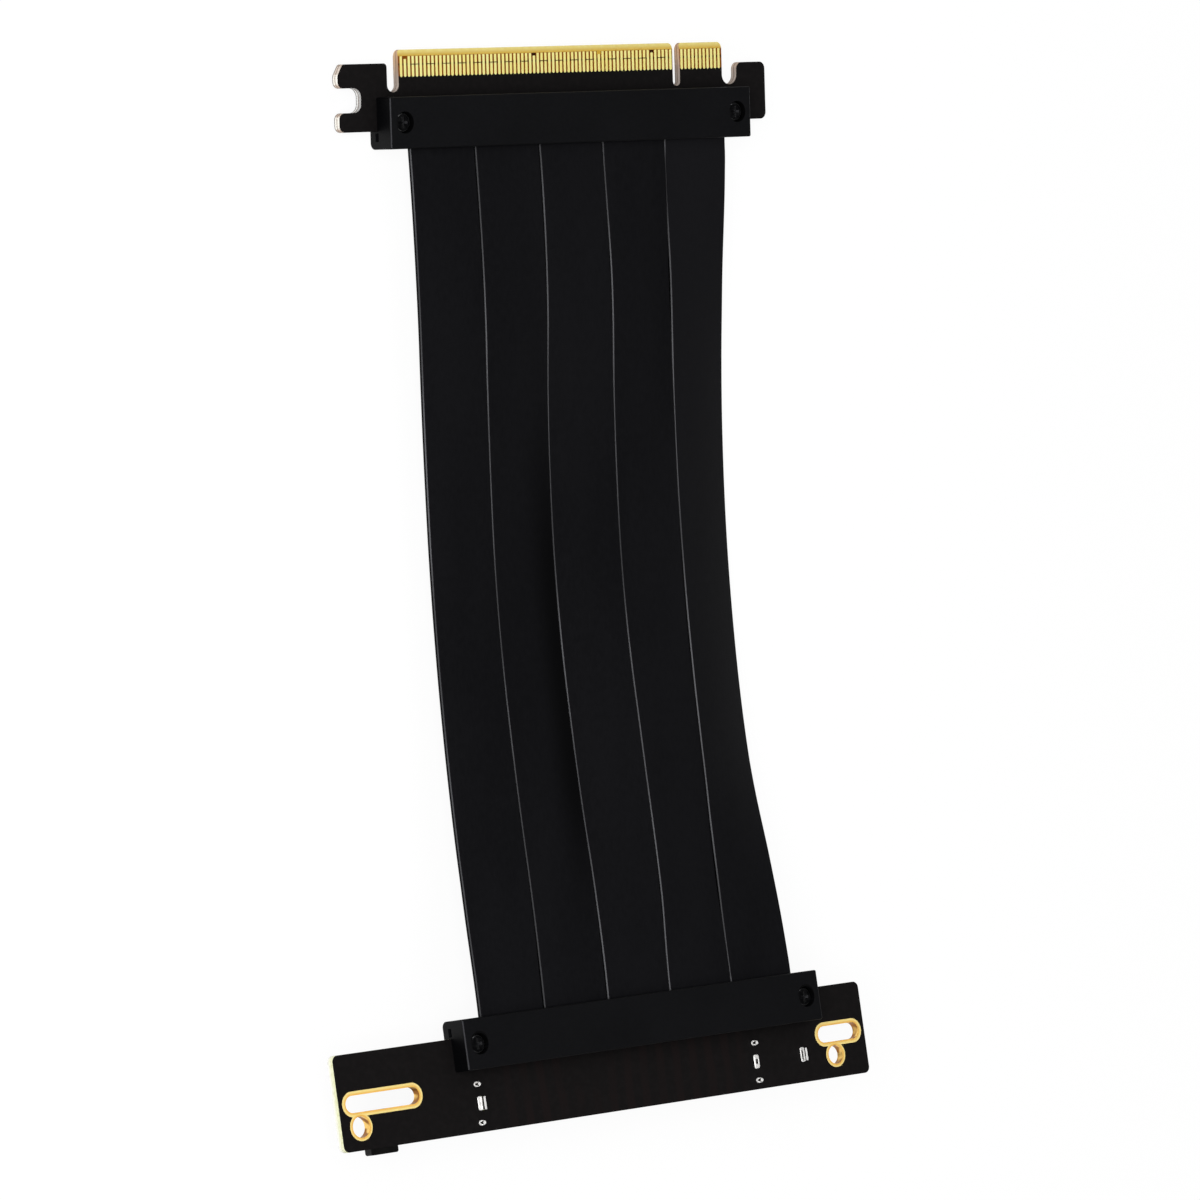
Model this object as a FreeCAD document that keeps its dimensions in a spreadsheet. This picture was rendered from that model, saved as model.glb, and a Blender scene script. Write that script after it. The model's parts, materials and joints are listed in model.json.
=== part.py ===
import FreeCAD, Part
import math
import os
import re
from types import SimpleNamespace

# Extension cable for a sixteen-lane card slot: a plug board with gold contact fingers, five flat
# ribbons, and a slot board with a card slot on its back. It lies on a table, screw side up.
# X runs along both connectors, +Y points towards the gold fingers and +Z is up. Millimetres.

DRIVING_SIZES = (
    # Both circuit boards
    ("board_thick", 1.6),
    ("plating_thick", 0.05),
    ("corner_radius", 0.8),
    # Card edge of the plug board: contacts stand on both sides of a key notch
    ("pin_pitch", 1.0),
    ("key_gap", 3.0),
    ("key_width", 1.9),
    ("plug_key_x", 30.5),
    ("finger_width", 0.7),
    ("finger_start", 1.3),
    ("finger_end", 5.4),
    ("finger_break", 0.16),
    ("finger_break_inset", 1.6),
    ("finger_short", 0.55),
    ("bevel_length", 1.25),
    ("bevel_drop", 0.45),
    # Outline of the plug board, heights taken down from the card edge
    ("plug_depth", 15.95),
    ("notch_depth", 8.7),
    ("left_notch_depth", 8.3),
    ("left_margin", 0.7),
    ("right_margin", 0.8),
    ("left_notch", 2.9),
    ("right_notch", 3.9),
    ("fork_length", 12.35),
    ("fork_top", 2.6),
    ("fork_gap_top", 7.3),
    ("fork_gap_height", 4.85),
    ("fork_gap_depth", 5.7),
    ("lower_prong_inset", 0.15),
    ("prong_cut_length", 1.3),
    ("prong_cut_height", 2.2),
    ("prong_radius", 1.3),
    ("fork_gap_radius", 1.8),
    ("tab_radius", 1.4),
    ("tab_length", 7.75),
    ("tab_top", 4.25),
    # Two-part cover that clamps the ribbons to each board
    ("cover_width", 94.0),
    ("cover_depth", 10.25),
    ("plug_cover_x", -0.45),
    ("cover_overhang", 3.55),
    ("cover_rise", 4.35),
    ("cover_top", 1.4),
    ("cover_wall", 1.2),
    ("cover_rim", 0.6),
    ("cover_back", 1.8),
    ("cover_edge_radius", 0.35),
    ("cover_back_radius", 1.3),
    ("pan_inset", 1.75),
    ("pan_edge", 1.5),
    ("pan_clear", 1.0),
    ("slit_width", 1.0),
    ("slit_length", 1.7),
    ("slit_deep", 0.8),
    ("seat_clearance", 0.05),
    # Cover screws
    ("screw_spacing", 86.7),
    ("screw_inset", 1.65),
    ("screw_diameter", 1.6),
    ("screw_length", 5.2),
    ("head_diameter", 3.8),
    ("head_height", 1.2),
    ("head_radius", 0.4),
    ("recess_diameter", 4.3),
    ("recess_deep", 2.0),
    ("cross_width", 0.55),
    ("cross_length", 2.3),
    ("cross_deep", 0.7),
    # Ribbons
    ("ribbon_width", 16.3),
    ("ribbon_gap", 0.25),
    ("ribbon_thick", 1.0),
    ("ribbon_bite", 2.5),
    ("ribbon_span", 172.2),
    ("slot_shift", 5.3),
    ("tail_pitch", 1.0),
    ("tail_width", 0.4),
    ("tail_thick", 0.3),
    ("solder_pad_length", 2.6),
    ("solder_pad_start", 1.2),
    # Slot board, leaning on the rim of its slot
    ("lean_angle", 9.7),
    ("slot_board_width", 138.6),
    ("slot_board_depth", 19.1),
    ("slot_corner_radius", 1.3),
    ("slot_cover_x", 7.7),
    ("slot_key_x", 38.9),
    ("slot_row", 13.4),
    # Plated mounting holes. Each oblong one fills its end of the slot board, between a margin at the
    # board's end and a clear stretch by the slot, and the heights are from the ribbon-side edge.
    ("oblong_ring", 0.82),
    ("round_ring", 0.65),
    ("barrel_wall", 0.35),
    ("left_oblong_margin", 1.75),
    ("left_oblong_clear", 13.53),
    ("left_oblong_y", 9.89),
    ("left_oblong_width", 3.4),
    ("left_round_inset", 4.89),
    ("left_round_y", 14.5),
    ("left_round_width", 4.2),
    ("right_oblong_margin", 1.7),
    ("right_oblong_clear", 3.04),
    ("right_oblong_y", 9.97),
    ("right_oblong_width", 3.4),
    ("right_round_shift", 1.45),
    ("right_round_y", 14.4),
    ("right_round_width", 3.9),
    # Card slot on the back of the slot board
    ("housing_end", 3.0),
    ("housing_width", 7.5),
    ("housing_height", 11.25),
    ("foot_gap", 0.25),
    ("foot_width", 2.2),
    ("foot_reach", 1.05),
    ("foot_height", 2.2),
    ("card_gap", 1.75),
    ("card_depth", 8.25),
    ("card_end", 0.9),
    ("pocket_width", 0.6),
    ("pocket_reach", 2.05),
    ("pocket_start", 0.8),
    ("mouth_web", 0.65),
    ("contact_width", 0.45),
    ("contact_thick", 0.18),
    ("contact_bulge", 0.72),
    ("tail_reach", 4.9),
    # Metal legs that hold the slot in the board
    ("leg_row", 3.85),
    ("leg_diameter", 0.7),
    ("leg_proud", 1.15),
    ("leg_inset", 0.96),
    ("key_leg_shift", 0.2),
    ("blade_thick", 0.5),
    ("blade_width", 2.6),
    ("blade_proud", 1.1),
    ("key_blade_proud", 0.15),
    ("blade_inset", 1.8),
    ("right_blade_inset", 1.65),
    ("joint_ring", 0.32),
    ("joint_height", 0.35),
    ("leg_clearance", 0.1),
    # Retention latch at the end of the slot
    ("pivot_ahead", 3.4),
    ("pivot_down", 5.6),
    ("trunnion_diameter", 2.4),
    ("trunnion_end", 0.45),
    ("running_gap", 0.08),
    ("side_gap", 0.15),
    ("ear_length", 6.2),
    ("ear_thick", 1.5),
    ("ear_height", 6.8),
    ("hub_diameter", 4.4),
    ("upright_back", 1.2),
    ("upright_front", 1.8),
    ("tooth_tip", 3.0),
    ("tooth_down", 6.4),
    ("tooth_thick", 1.4),
    ("beam_width", 3.0),
    ("paddle_far", 16.7),
    ("paddle_length", 6.85),
    ("paddle_thick", 2.0),
    ("paddle_down", 5.7),
    ("paddle_inner", 12.2),
    ("paddle_step", 16.9),
    ("paddle_neck", 2.9),
    ("paddle_outer", 20.6),
    ("paddle_radius", 0.5),
    ("groove_width", 0.7),
    ("groove_deep", 0.35),
)

SHORT_PINS = 11
LONG_PINS = 71
ALL_PINS = SHORT_PINS + LONG_PINS
RIBBON_COUNT = 5
TAILS_PER_RIBBON = 16
PADDLE_GROOVES = 4
# First pin of each signal pair whose fingers have a break, and the pins with a shorter finger
FRONT_PAIRS = (14, 19, 23, 27, 33, 37, 41, 45, 50, 54, 58, 62, 66, 70, 74, 78)
BACK_PAIRS = (13, 16, 21, 25, 29, 35, 39, 43, 47, 52, 56, 60, 64, 68, 72, 76, 80)
FRONT_SHORT = (17, 31, 48, 81)
BACK_SHORT = (1,)
# Each ribbon's heights above the table, at these distances from the plug cover
RIBBON_STATIONS = (56.0, 92.0, 128.0)
RIBBON_HEIGHTS = ((5.6, 5.5, 8.0), (4.8, 4.5, 7.8), (4.7, 4.5, 8.2), (4.8, 5.0, 8.2), (2.7, 3.1, 5.9))
RIBBON_FIRST_RUN = 25.5
RIBBON_LAST_RUN = 18.5
RUN_SHARE = 0.45

doc = FreeCAD.newDocument("extension_cable")
sheet = doc.addObject("Spreadsheet::Sheet", "Sizes")
for row, (alias, value) in enumerate(DRIVING_SIZES, start=1):
    sheet.set(f"A{row}", alias)
    sheet.set(f"B{row}", str(value))
    sheet.setAlias(f"B{row}", alias)
doc.recompute()
ALIASES = {alias for alias, value in DRIVING_SIZES}
S = SimpleNamespace(**{alias: float(sheet.get(alias)) for alias in ALIASES})
nodes = {}


def bind(item, prop, text):
    """Tie a property to the sheet; the text names cells by their aliases."""
    linked = re.sub(r"[a-z_]+", lambda word: "Sizes." + word[0] if word[0] in ALIASES else word[0], text)
    item.setExpression(prop, linked)


def place(item, corner):
    for axis, text in zip("xyz", corner):
        bind(item, f"Placement.Base.{axis}", text)


def block(name, corner, lengths):
    item = doc.addObject("Part::Box", name)
    for prop, text in zip(("Length", "Width", "Height"), lengths):
        bind(item, prop, text)
    place(item, corner)
    return item


def rod(name, centre, radius, height):
    item = doc.addObject("Part::Cylinder", name)
    bind(item, "Radius", radius)
    bind(item, "Height", height)
    place(item, centre)
    return item


def cross_rod(name, centre, radius, height):
    """Cylinder along +Y from its centre."""
    item = rod(name, centre, radius, height)
    item.Placement.Rotation = FreeCAD.Rotation(FreeCAD.Vector(1, 0, 0), -90)
    return item


def fuse(name, *items):
    item = doc.addObject("Part::MultiFuse", name)
    item.Shapes = list(items)
    item.Refine = True
    return item


def cut(name, base, *tools):
    item = doc.addObject("Part::Cut", name)
    item.Base = base
    item.Tool = tools[0] if len(tools) == 1 else fuse(name + "_tools", *tools)
    item.Refine = True
    return item


def oblong(name, centre, length, width, height):
    """Plate with round ends along X, standing on its centre point."""
    x, y, z = centre
    half = f"(({length}) - ({width})) / 2"
    bar = block(name + "_bar", (f"{x} - {half}", f"{y} - ({width}) / 2", z), (f"2 * {half}", width, height))
    ends = [rod(f"{name}_end_{i}", (f"{x} {sign} {half}", y, z), f"({width}) / 2", height)
            for i, sign in enumerate("-+")]
    return fuse(name, bar, *ends)


def round_edges(name, base, radius, wanted):
    """Round every edge of the base for which wanted(edge) is true."""
    doc.recompute()
    item = doc.addObject("Part::Fillet", name)
    item.Base = base
    item.Edges = [(i, radius, radius) for i, edge in enumerate(base.Shape.Edges, start=1) if wanted(edge)]
    return item


def upright_at(points, tolerance=0.01):
    """Test for the upright edges that stand on any of the given (x, y) points."""
    def wanted(edge):
        ends = [vertex.Point for vertex in edge.Vertexes]
        if len(ends) != 2 or ends[0].sub(ends[1]).Length < tolerance:
            return False
        return any(all(math.hypot(p.x - x, p.y - y) < tolerance for p in ends) for x, y in points)
    return wanted


def in_plane(axis, level, tolerance=0.01):
    """Test for straight edges that lie wholly at one level of an axis."""
    def wanted(edge):
        straight = isinstance(edge.Curve, Part.Line)
        return straight and all(abs(getattr(v.Point, axis) - level) < tolerance for v in edge.Vertexes)
    return wanted


def keep(label, item, frame):
    """Name a finished piece and set it in its place."""
    item.Label = label
    item.Placement = frame
    nodes[label] = item
    return item


def group(label, solids, frame):
    """One node of many like solids."""
    item = doc.addObject("Part::Feature", label)
    item.Shape = Part.makeCompound(solids)
    return keep(label, item, frame)


def solid_block(x, y, z):
    """Solid between the given (low, high) pairs."""
    low = FreeCAD.Vector(x[0], y[0], z[0])
    return Part.makeBox(x[1] - x[0], y[1] - y[0], z[1] - z[0], low)


def strip(points, thick, x_middle, width):
    """Flat metal strip bent along (y, z) points, as wide in X as given."""
    path = [FreeCAD.Vector(0, y, z) for y, z in points]
    offsets = []
    for i, point in enumerate(path):
        before = (point - path[i - 1]).normalize() if i else None
        after = (path[i + 1] - point).normalize() if i + 1 < len(path) else None
        along = (before or after) + (after or before)
        along.normalize()
        side = FreeCAD.Vector(0, -along.z, along.y)
        share = along.dot(after or before)
        offsets.append(side * (thick / 2 / share))
    outline = [p + o for p, o in zip(path, offsets)] + [p - o for p, o in zip(path[::-1], offsets[::-1])]
    face = Part.Face(Part.makePolygon(outline + outline[:1]))
    face.translate(FreeCAD.Vector(x_middle - width / 2, 0, 0))
    return face.extrude(FreeCAD.Vector(width, 0, 0))


def pin_x(key_x, pin):
    """Place of a contact along the connector, counted from the short side of the key."""
    if pin <= SHORT_PINS:
        return key_x + S.key_gap / 2 + (SHORT_PINS - pin) * S.pin_pitch
    return key_x - S.key_gap / 2 - (pin - SHORT_PINS - 1) * S.pin_pitch


# Frames of the two ends. The plug rests flat on its back cover, and the slot board leans on the
# rim of its slot. The origin is on the table, under the middle of the whole.
lean = math.radians(S.lean_angle)
ribbon_middle = S.cover_rise - S.cover_top - S.seat_clearance - S.ribbon_thick / 2
plug_lift = S.board_thick + S.cover_back
slot_lift = ((S.board_thick + S.housing_height) * math.cos(lean)
             - (S.slot_row - S.housing_width / 2) * math.sin(lean))
slot_end = S.cover_overhang * math.cos(lean) + ribbon_middle * math.sin(lean)
latch_bottom = S.pivot_down + S.paddle_down
latch_end = S.paddle_outer * math.cos(lean) + latch_bottom * math.sin(lean)
ribbon_start = S.plug_depth + S.cover_overhang
card_edge_y = (ribbon_start + S.ribbon_span + slot_end + latch_end) / 2
plug_x = S.slot_cover_x - S.slot_shift - S.plug_cover_x
slot_y = card_edge_y - ribbon_start - S.ribbon_span - slot_end

plug_frame = FreeCAD.Placement(FreeCAD.Vector(plug_x, card_edge_y, plug_lift), FreeCAD.Rotation())
slot_frame = FreeCAD.Placement(FreeCAD.Vector(0, slot_y, slot_lift),
                               FreeCAD.Rotation(FreeCAD.Vector(1, 0, 0), -S.lean_angle))
plug_cover_frame = plug_frame * FreeCAD.Placement(FreeCAD.Vector(S.plug_cover_x, -S.plug_depth, 0),
                                                  FreeCAD.Rotation())
slot_cover_frame = slot_frame * FreeCAD.Placement(FreeCAD.Vector(S.slot_cover_x, 0, 0),
                                                  FreeCAD.Rotation(FreeCAD.Vector(0, 0, 1), 180))

OVER = "1"
BLOCK_LEFT = f"plug_key_x - key_gap / 2 - {LONG_PINS - 1} * pin_pitch - left_margin"
BLOCK_RIGHT = f"plug_key_x + key_gap / 2 + {SHORT_PINS - 1} * pin_pitch + right_margin"
FORK_RIGHT = f"{BLOCK_LEFT} - left_notch"
FORK_LEFT = f"{FORK_RIGHT} - fork_length"
TAB_LEFT = f"{BLOCK_RIGHT} + right_notch"
TAB_RIGHT = f"{TAB_LEFT} + tab_length"
SCREW_SIDES = {"left": "-screw_spacing / 2", "right": "screw_spacing / 2"}


def notch(name, left, width, depth):
    """Cut down from the card edge with a round bottom."""
    bottom = f"-{depth} + ({width}) / 2"
    tall = f"{depth} - ({width}) / 2 + {OVER}"
    lengths = (width, tall, f"board_thick + 2 * {OVER}")
    slot = block(name + "_sides", (left, bottom, f"-board_thick - {OVER}"), lengths)
    centre = (f"{left} + ({width}) / 2", bottom, f"-board_thick - {OVER}")
    return fuse(name, slot, rod(name + "_bottom", centre, f"({width}) / 2", f"board_thick + 2 * {OVER}"))


def through_board(name, corner, lengths):
    """Block that cuts right through a board, from a plan corner and plan lengths."""
    return block(name, (*corner, f"-board_thick - {OVER}"), (*lengths, f"board_thick + 2 * {OVER}"))


def screw_holes(name, y):
    """Clearance holes of the two cover screws, through a board."""
    radius = "screw_diameter / 2 + leg_clearance"
    tall = f"board_thick + 2 * {OVER}"
    return [rod(f"{name}_{side}", (f"plug_cover_x + {x}", y, f"-board_thick - {OVER}"), radius, tall)
            for side, x in SCREW_SIDES.items()]


def make_plug_board():
    plate = block("plug_plate", (FORK_LEFT, "-plug_depth", "-board_thick"),
                  (f"{TAB_RIGHT} - ({FORK_LEFT})", "plug_depth", "board_thick"))
    above_fork = through_board("above_fork", (f"{FORK_LEFT} - {OVER}", "-fork_top"),
                               (f"fork_length + {OVER}", f"fork_top + {OVER}"))
    above_tab = through_board("above_tab", (TAB_LEFT, "-tab_top"),
                              (f"tab_length + {OVER}", f"tab_top + {OVER}"))
    fork_gap = through_board("fork_gap", (f"{FORK_LEFT} - {OVER}", "-fork_gap_top - fork_gap_height"),
                             (f"fork_gap_depth + {OVER}", "fork_gap_height"))
    lower_tip = through_board("lower_tip", (f"{FORK_LEFT} - {OVER}", f"-plug_depth - {OVER}"),
                              (f"lower_prong_inset + {OVER}",
                               f"plug_depth - fork_gap_top - fork_gap_height / 2 + {OVER}"))
    # The upper prong's tip is cut off aslant.
    tip_slope = math.degrees(math.atan2(S.prong_cut_height, S.prong_cut_length))
    upper_tip = through_board("upper_tip", (FORK_LEFT, "-fork_top - prong_cut_height"),
                              ("prong_cut_length + prong_cut_height", "prong_cut_length"))
    upper_tip.Placement.Rotation = FreeCAD.Rotation(FreeCAD.Vector(0, 0, 1), tip_slope)
    notches = [
        notch("left_notch_cut", FORK_RIGHT, "left_notch", "left_notch_depth"),
        notch("right_notch_cut", BLOCK_RIGHT, "right_notch", "notch_depth"),
        notch("key_notch_cut", "plug_key_x - key_width / 2", "key_width", "notch_depth"),
    ]
    holes = screw_holes("plug_screw_hole", "-plug_depth + screw_inset")
    outline = cut("plug_outline", plate, above_fork, above_tab, fork_gap, upper_tip, lower_tip,
                  *notches, *holes)

    block_left = pin_x(S.plug_key_x, ALL_PINS) - S.left_margin
    block_right = pin_x(S.plug_key_x, 1) + S.right_margin
    fork_left = block_left - S.left_notch - S.fork_length
    tab_left = block_right + S.right_notch
    tab_right = tab_left + S.tab_length
    gap_bottom = -S.fork_gap_top - S.fork_gap_height
    key_sides = (S.plug_key_x - S.key_width / 2, S.plug_key_x + S.key_width / 2)
    lower_tip_x = fork_left + S.lower_prong_inset
    gap_x = fork_left + S.fork_gap_depth
    prongs = [(fork_left, -S.fork_top - S.prong_cut_height), (fork_left, -S.fork_gap_top),
              (lower_tip_x, gap_bottom), (lower_tip_x, -S.plug_depth)]
    gap = [(gap_x, -S.fork_gap_top), (gap_x, gap_bottom)]
    tab = [(tab_left, -S.tab_top), (tab_right, -S.tab_top), (tab_right, -S.plug_depth)]
    edge = [(fork_left + S.prong_cut_length, -S.fork_top), (block_left - S.left_notch, -S.fork_top),
            (block_left, 0), (block_right, 0), (key_sides[0], 0), (key_sides[1], 0)]
    rounded = outline
    for name, radius, points in (("prongs", S.prong_radius, prongs), ("gap", S.fork_gap_radius, gap),
                                 ("tab", S.tab_radius, tab), ("edge", S.corner_radius, edge)):
        rounded = round_edges(f"plug_round_{name}", rounded, radius, upright_at(points))

    # The card edge is bevelled on both faces, so that it finds its way into a slot.
    front_bevel = block("bevel_front", (FORK_LEFT, "-bevel_length", "0"),
                        (f"{TAB_RIGHT} - ({FORK_LEFT})", "2 * bevel_length", "board_thick"))
    slope = math.degrees(math.atan2(S.bevel_drop, S.bevel_length))
    front_bevel.Placement.Rotation = FreeCAD.Rotation(FreeCAD.Vector(1, 0, 0), -slope)
    back_bevel = doc.addObject("Part::Mirroring", "bevel_back")
    back_bevel.Source = front_bevel
    back_bevel.Normal = FreeCAD.Vector(0, 0, 1)
    bind(back_bevel, "Base.z", "-board_thick / 2")
    keep("plug_board", cut("plug_board", rounded, front_bevel, back_bevel), plug_frame)


def finger_solids(pairs, short, low, high):
    """Contact fingers of one face, outer ends at the bevel."""
    broken = {pin for first in pairs for pin in (first, first + 1)}
    break_y = -S.finger_start - S.finger_break_inset
    solids = []
    for pin in range(1, ALL_PINS + 1):
        middle = pin_x(S.plug_key_x, pin)
        x = (middle - S.finger_width / 2, middle + S.finger_width / 2)
        outer = -S.finger_start - (S.finger_short if pin in short else 0)
        if pin in broken:
            solids.append(solid_block(x, (break_y + S.finger_break / 2, outer), (low, high)))
            outer = break_y - S.finger_break / 2
        solids.append(solid_block(x, (-S.finger_end, outer), (low, high)))
    return solids


def ribbon_offset(index):
    """Place of a ribbon's middle across the cover."""
    return (index - (RIBBON_COUNT - 1) / 2) * (S.ribbon_width + S.ribbon_gap)


def tail_places():
    for index in range(RIBBON_COUNT):
        for wire in range(TAILS_PER_RIBBON):
            yield ribbon_offset(index) + (wire - (TAILS_PER_RIBBON - 1) / 2) * S.tail_pitch


def make_wiring(end, frame):
    """Solder pads on the board and the bare wire ends that come down to them from the ribbons."""
    pad_y = (S.solder_pad_start, S.solder_pad_start + S.solder_pad_length)
    half = S.tail_width / 2
    pads = [solid_block((x - half, x + half), pad_y, (0, S.plating_thick)) for x in tail_places()]
    group(f"{end}_solder_pads", pads, frame)
    start = S.ribbon_bite - S.cover_overhang + S.tail_width
    low = S.plating_thick + S.tail_thick / 2
    route = [(start, ribbon_middle), (start + S.tail_width, ribbon_middle)]
    route += [(y, low) for y in pad_y]
    group(f"{end}_wire_tails", [strip(route, S.tail_thick, x, S.tail_width) for x in tail_places()], frame)


COVER_CORNER = ("-cover_width / 2", "-cover_overhang")
BAND_HALF = f"({RIBBON_COUNT} * (ribbon_width + ribbon_gap) + ribbon_gap) / 2"
RIBBON_BED = "cover_rise - cover_top - ribbon_thick - 2 * seat_clearance"


def end_slits(name):
    """Small windows in both ends of a cover, across the seam of its two parts."""
    corner_y = "-slit_length - slit_width / 3"
    corner_z = "-slit_width * 0.6"
    lengths = (f"slit_deep + {OVER}", "slit_length", "slit_width")
    return [block(name + "_left", (f"-cover_width / 2 - {OVER}", corner_y, corner_z), lengths),
            block(name + "_right", ("cover_width / 2 - slit_deep", corner_y, corner_z), lengths)]


def make_front_cover(end, frame):
    """Moulded front half: a lid over the solder joints, with two recessed screw holes."""
    name = f"{end}_front_cover"
    shell = block(name + "_block", (*COVER_CORNER, "0"), ("cover_width", "cover_depth", "cover_rise"))
    hollow = block(name + "_hollow", (f"-{BAND_HALF}", f"-cover_overhang - {OVER}", f"-{OVER}"),
                   (f"2 * {BAND_HALF}", f"cover_depth - cover_wall + {OVER}",
                    f"cover_rise - cover_top + {OVER}"))
    tools = [hollow, *end_slits(name + "_slit")]
    for side, x in SCREW_SIDES.items():
        tools.append(rod(f"{name}_hole_{side}", (x, "screw_inset", f"-{OVER}"),
                         "screw_diameter / 2 + seat_clearance", f"cover_rise + 2 * {OVER}"))
        tools.append(rod(f"{name}_recess_{side}", (x, "screw_inset", "cover_rise - recess_deep"),
                         "recess_diameter / 2", f"recess_deep + {OVER}"))
    corners = [(side * S.cover_width / 2, y) for side in (-1, 1)
               for y in (-S.cover_overhang, S.cover_depth - S.cover_overhang)]

    def outer_edge(edge):
        return in_plane("z", S.cover_rise)(edge) or upright_at(corners)(edge)

    keep(name, round_edges(name, cut(name + "_cut", shell, *tools), S.cover_edge_radius, outer_edge), frame)


def make_back_cover(end, frame):
    """Moulded back half: a shallow tray with a lip that the ribbons bear on."""
    name = f"{end}_back_cover"
    rim = block(name + "_rim", (*COVER_CORNER, "-board_thick - cover_rim"),
                ("cover_width", "cover_depth", "cover_rim"))
    lip = block(name + "_lip", (*COVER_CORNER, "-board_thick"),
                ("cover_width", "cover_overhang - seat_clearance", "board_thick"))
    bed_start = f"-{BAND_HALF} + seat_clearance"
    bed = block(name + "_bed", (bed_start, "-cover_overhang", "0"),
                (f"-2 * ({bed_start})", "cover_overhang - ribbon_bite + cover_wall", RIBBON_BED))
    pan = block(name + "_pan", ("-cover_width / 2 + pan_inset", "-cover_overhang + pan_edge",
                                "-board_thick - cover_back"),
                ("cover_width - 2 * pan_inset", "cover_depth - 2 * pan_edge", "cover_back - cover_rim"))
    body = fuse(name + "_body", rim, lip, bed, pan)
    relief = block(name + "_relief", (f"-{BAND_HALF}", "seat_clearance", "-board_thick - pan_clear"),
                   (f"2 * {BAND_HALF}", "cover_depth - cover_overhang - pan_edge - cover_wall",
                    f"pan_clear + {OVER}"))
    tip = "cover_rise - recess_deep - screw_length - seat_clearance"
    pilots = [rod(f"{name}_pilot_{side}", (x, "screw_inset", tip), "screw_diameter / 2 + seat_clearance",
                  f"screw_length + {OVER}")
              for side, x in SCREW_SIDES.items()]
    hollowed = cut(name + "_cut", body, relief, *pilots, *end_slits(name + "_slit"))
    level = -S.board_thick - S.cover_rim

    def ribbon_side_edge(edge):
        at_side = in_plane("y", -S.cover_overhang)(edge)
        return at_side and in_plane("z", level)(edge)

    keep(name, round_edges(name, hollowed, S.cover_back_radius, ribbon_side_edge), frame)


def make_cover_screws(end, frame):
    """Pan-head screws with a cross recess, seated in the front cover."""
    name = f"{end}_cover_screw"
    seat = "cover_rise - recess_deep"
    head = rod(name + "_head", ("0", "screw_inset", seat), "head_diameter / 2", "head_height")
    shank = rod(name + "_shank", ("0", "screw_inset", f"{seat} - screw_length"), "screw_diameter / 2",
                "screw_length + head_height / 2")
    top = f"{seat} + head_height - cross_deep"
    bars = [block(name + "_bar_x", ("-cross_length / 2", "screw_inset - cross_width / 2", top),
                  ("cross_length", "cross_width", f"cross_deep + {OVER}")),
            block(name + "_bar_y", ("-cross_width / 2", "screw_inset - cross_length / 2", top),
                  ("cross_width", "cross_length", f"cross_deep + {OVER}"))]
    head_top = S.cover_rise - S.recess_deep + S.head_height
    rounded = round_edges(name + "_rounded", fuse(name + "_body", head, shank), S.head_radius,
                          lambda edge: edge.BoundBox.ZMin > head_top - S.seat_clearance)
    screw = cut(name, rounded, *bars)
    doc.recompute()
    copies = []
    for x in (-S.screw_spacing / 2, S.screw_spacing / 2):
        copy = screw.Shape.copy()
        copy.translate(FreeCAD.Vector(x, 0, 0))
        copies.append(copy)
    group(f"{end}_cover_screws", copies, frame)


def ribbon_route(index):
    """Corner points of one ribbon, as distance from the plug cover and height above the table."""
    leave = plug_lift + ribbon_middle
    arrive = slot_lift - S.cover_overhang * math.sin(lean) + ribbon_middle * math.cos(lean)
    last = RIBBON_LAST_RUN - S.ribbon_bite
    route = [(-S.ribbon_bite, leave), (RIBBON_FIRST_RUN - S.ribbon_bite, leave)]
    route += list(zip(RIBBON_STATIONS, RIBBON_HEIGHTS[index]))
    route.append((S.ribbon_span - last * math.cos(lean), arrive - last * math.sin(lean)))
    bite = S.ribbon_bite
    route.append((S.ribbon_span + bite * math.cos(lean), arrive + bite * math.sin(lean)))
    return route


def bent_path(points):
    """Straight runs joined by the largest arcs that the runs allow, and the arcs' radii."""
    edges = []
    radii = []
    start = points[0]
    for before, corner, after in zip(points, points[1:], points[2:]):
        back = before - corner
        ahead = after - corner
        reach = RUN_SHARE * min(back.Length, ahead.Length)
        turn = math.pi - back.getAngle(ahead)
        radius = reach / math.tan(turn / 2)
        enter = corner + back.normalize() * reach
        leave = corner + ahead.normalize() * reach
        inward = (back + ahead).normalize()
        middle = corner + inward * (math.hypot(radius, reach) - radius)
        edges.append(Part.LineSegment(start, enter).toShape())
        edges.append(Part.Arc(enter, middle, leave).toShape())
        radii.append(radius)
        start = leave
    edges.append(Part.LineSegment(start, points[-1]).toShape())
    return Part.Wire(edges), radii


def make_ribbon(index):
    """Flat cable, swept along a route in an upright plane that slants from cover to cover."""
    label = f"ribbon_{index + 1}"
    points = [FreeCAD.Vector(0, -along, height) for along, height in ribbon_route(index)]
    path, radii = bent_path(points)
    corner = points[0] - FreeCAD.Vector(S.ribbon_width / 2, 0, S.ribbon_thick / 2)
    wide = FreeCAD.Vector(S.ribbon_width, 0, 0)
    thick = FreeCAD.Vector(0, 0, S.ribbon_thick)
    section = Part.makePolygon([corner, corner + wide, corner + wide + thick, corner + thick, corner])
    item = doc.addObject("Part::Feature", label)
    item.Shape = path.makePipeShell([section], True, False)
    wanted = path.Length * S.ribbon_width * S.ribbon_thick
    if abs(item.Shape.Volume / wanted - 1) > 0.01:
        raise RuntimeError(f"{label} holds {item.Shape.Volume:.1f}, not {wanted:.1f}")
    print(label, "length", round(path.Length, 1), "radii", [round(radius) for radius in radii])
    slant = math.degrees(math.atan2(S.slot_shift, S.ribbon_span))
    turned = FreeCAD.Rotation(FreeCAD.Vector(0, 0, 1), slant)
    middle_x = plug_x + S.plug_cover_x + ribbon_offset(index)
    start = FreeCAD.Vector(middle_x, card_edge_y - ribbon_start, 0)
    keep(label, item, FreeCAD.Placement(start, turned))


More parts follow.
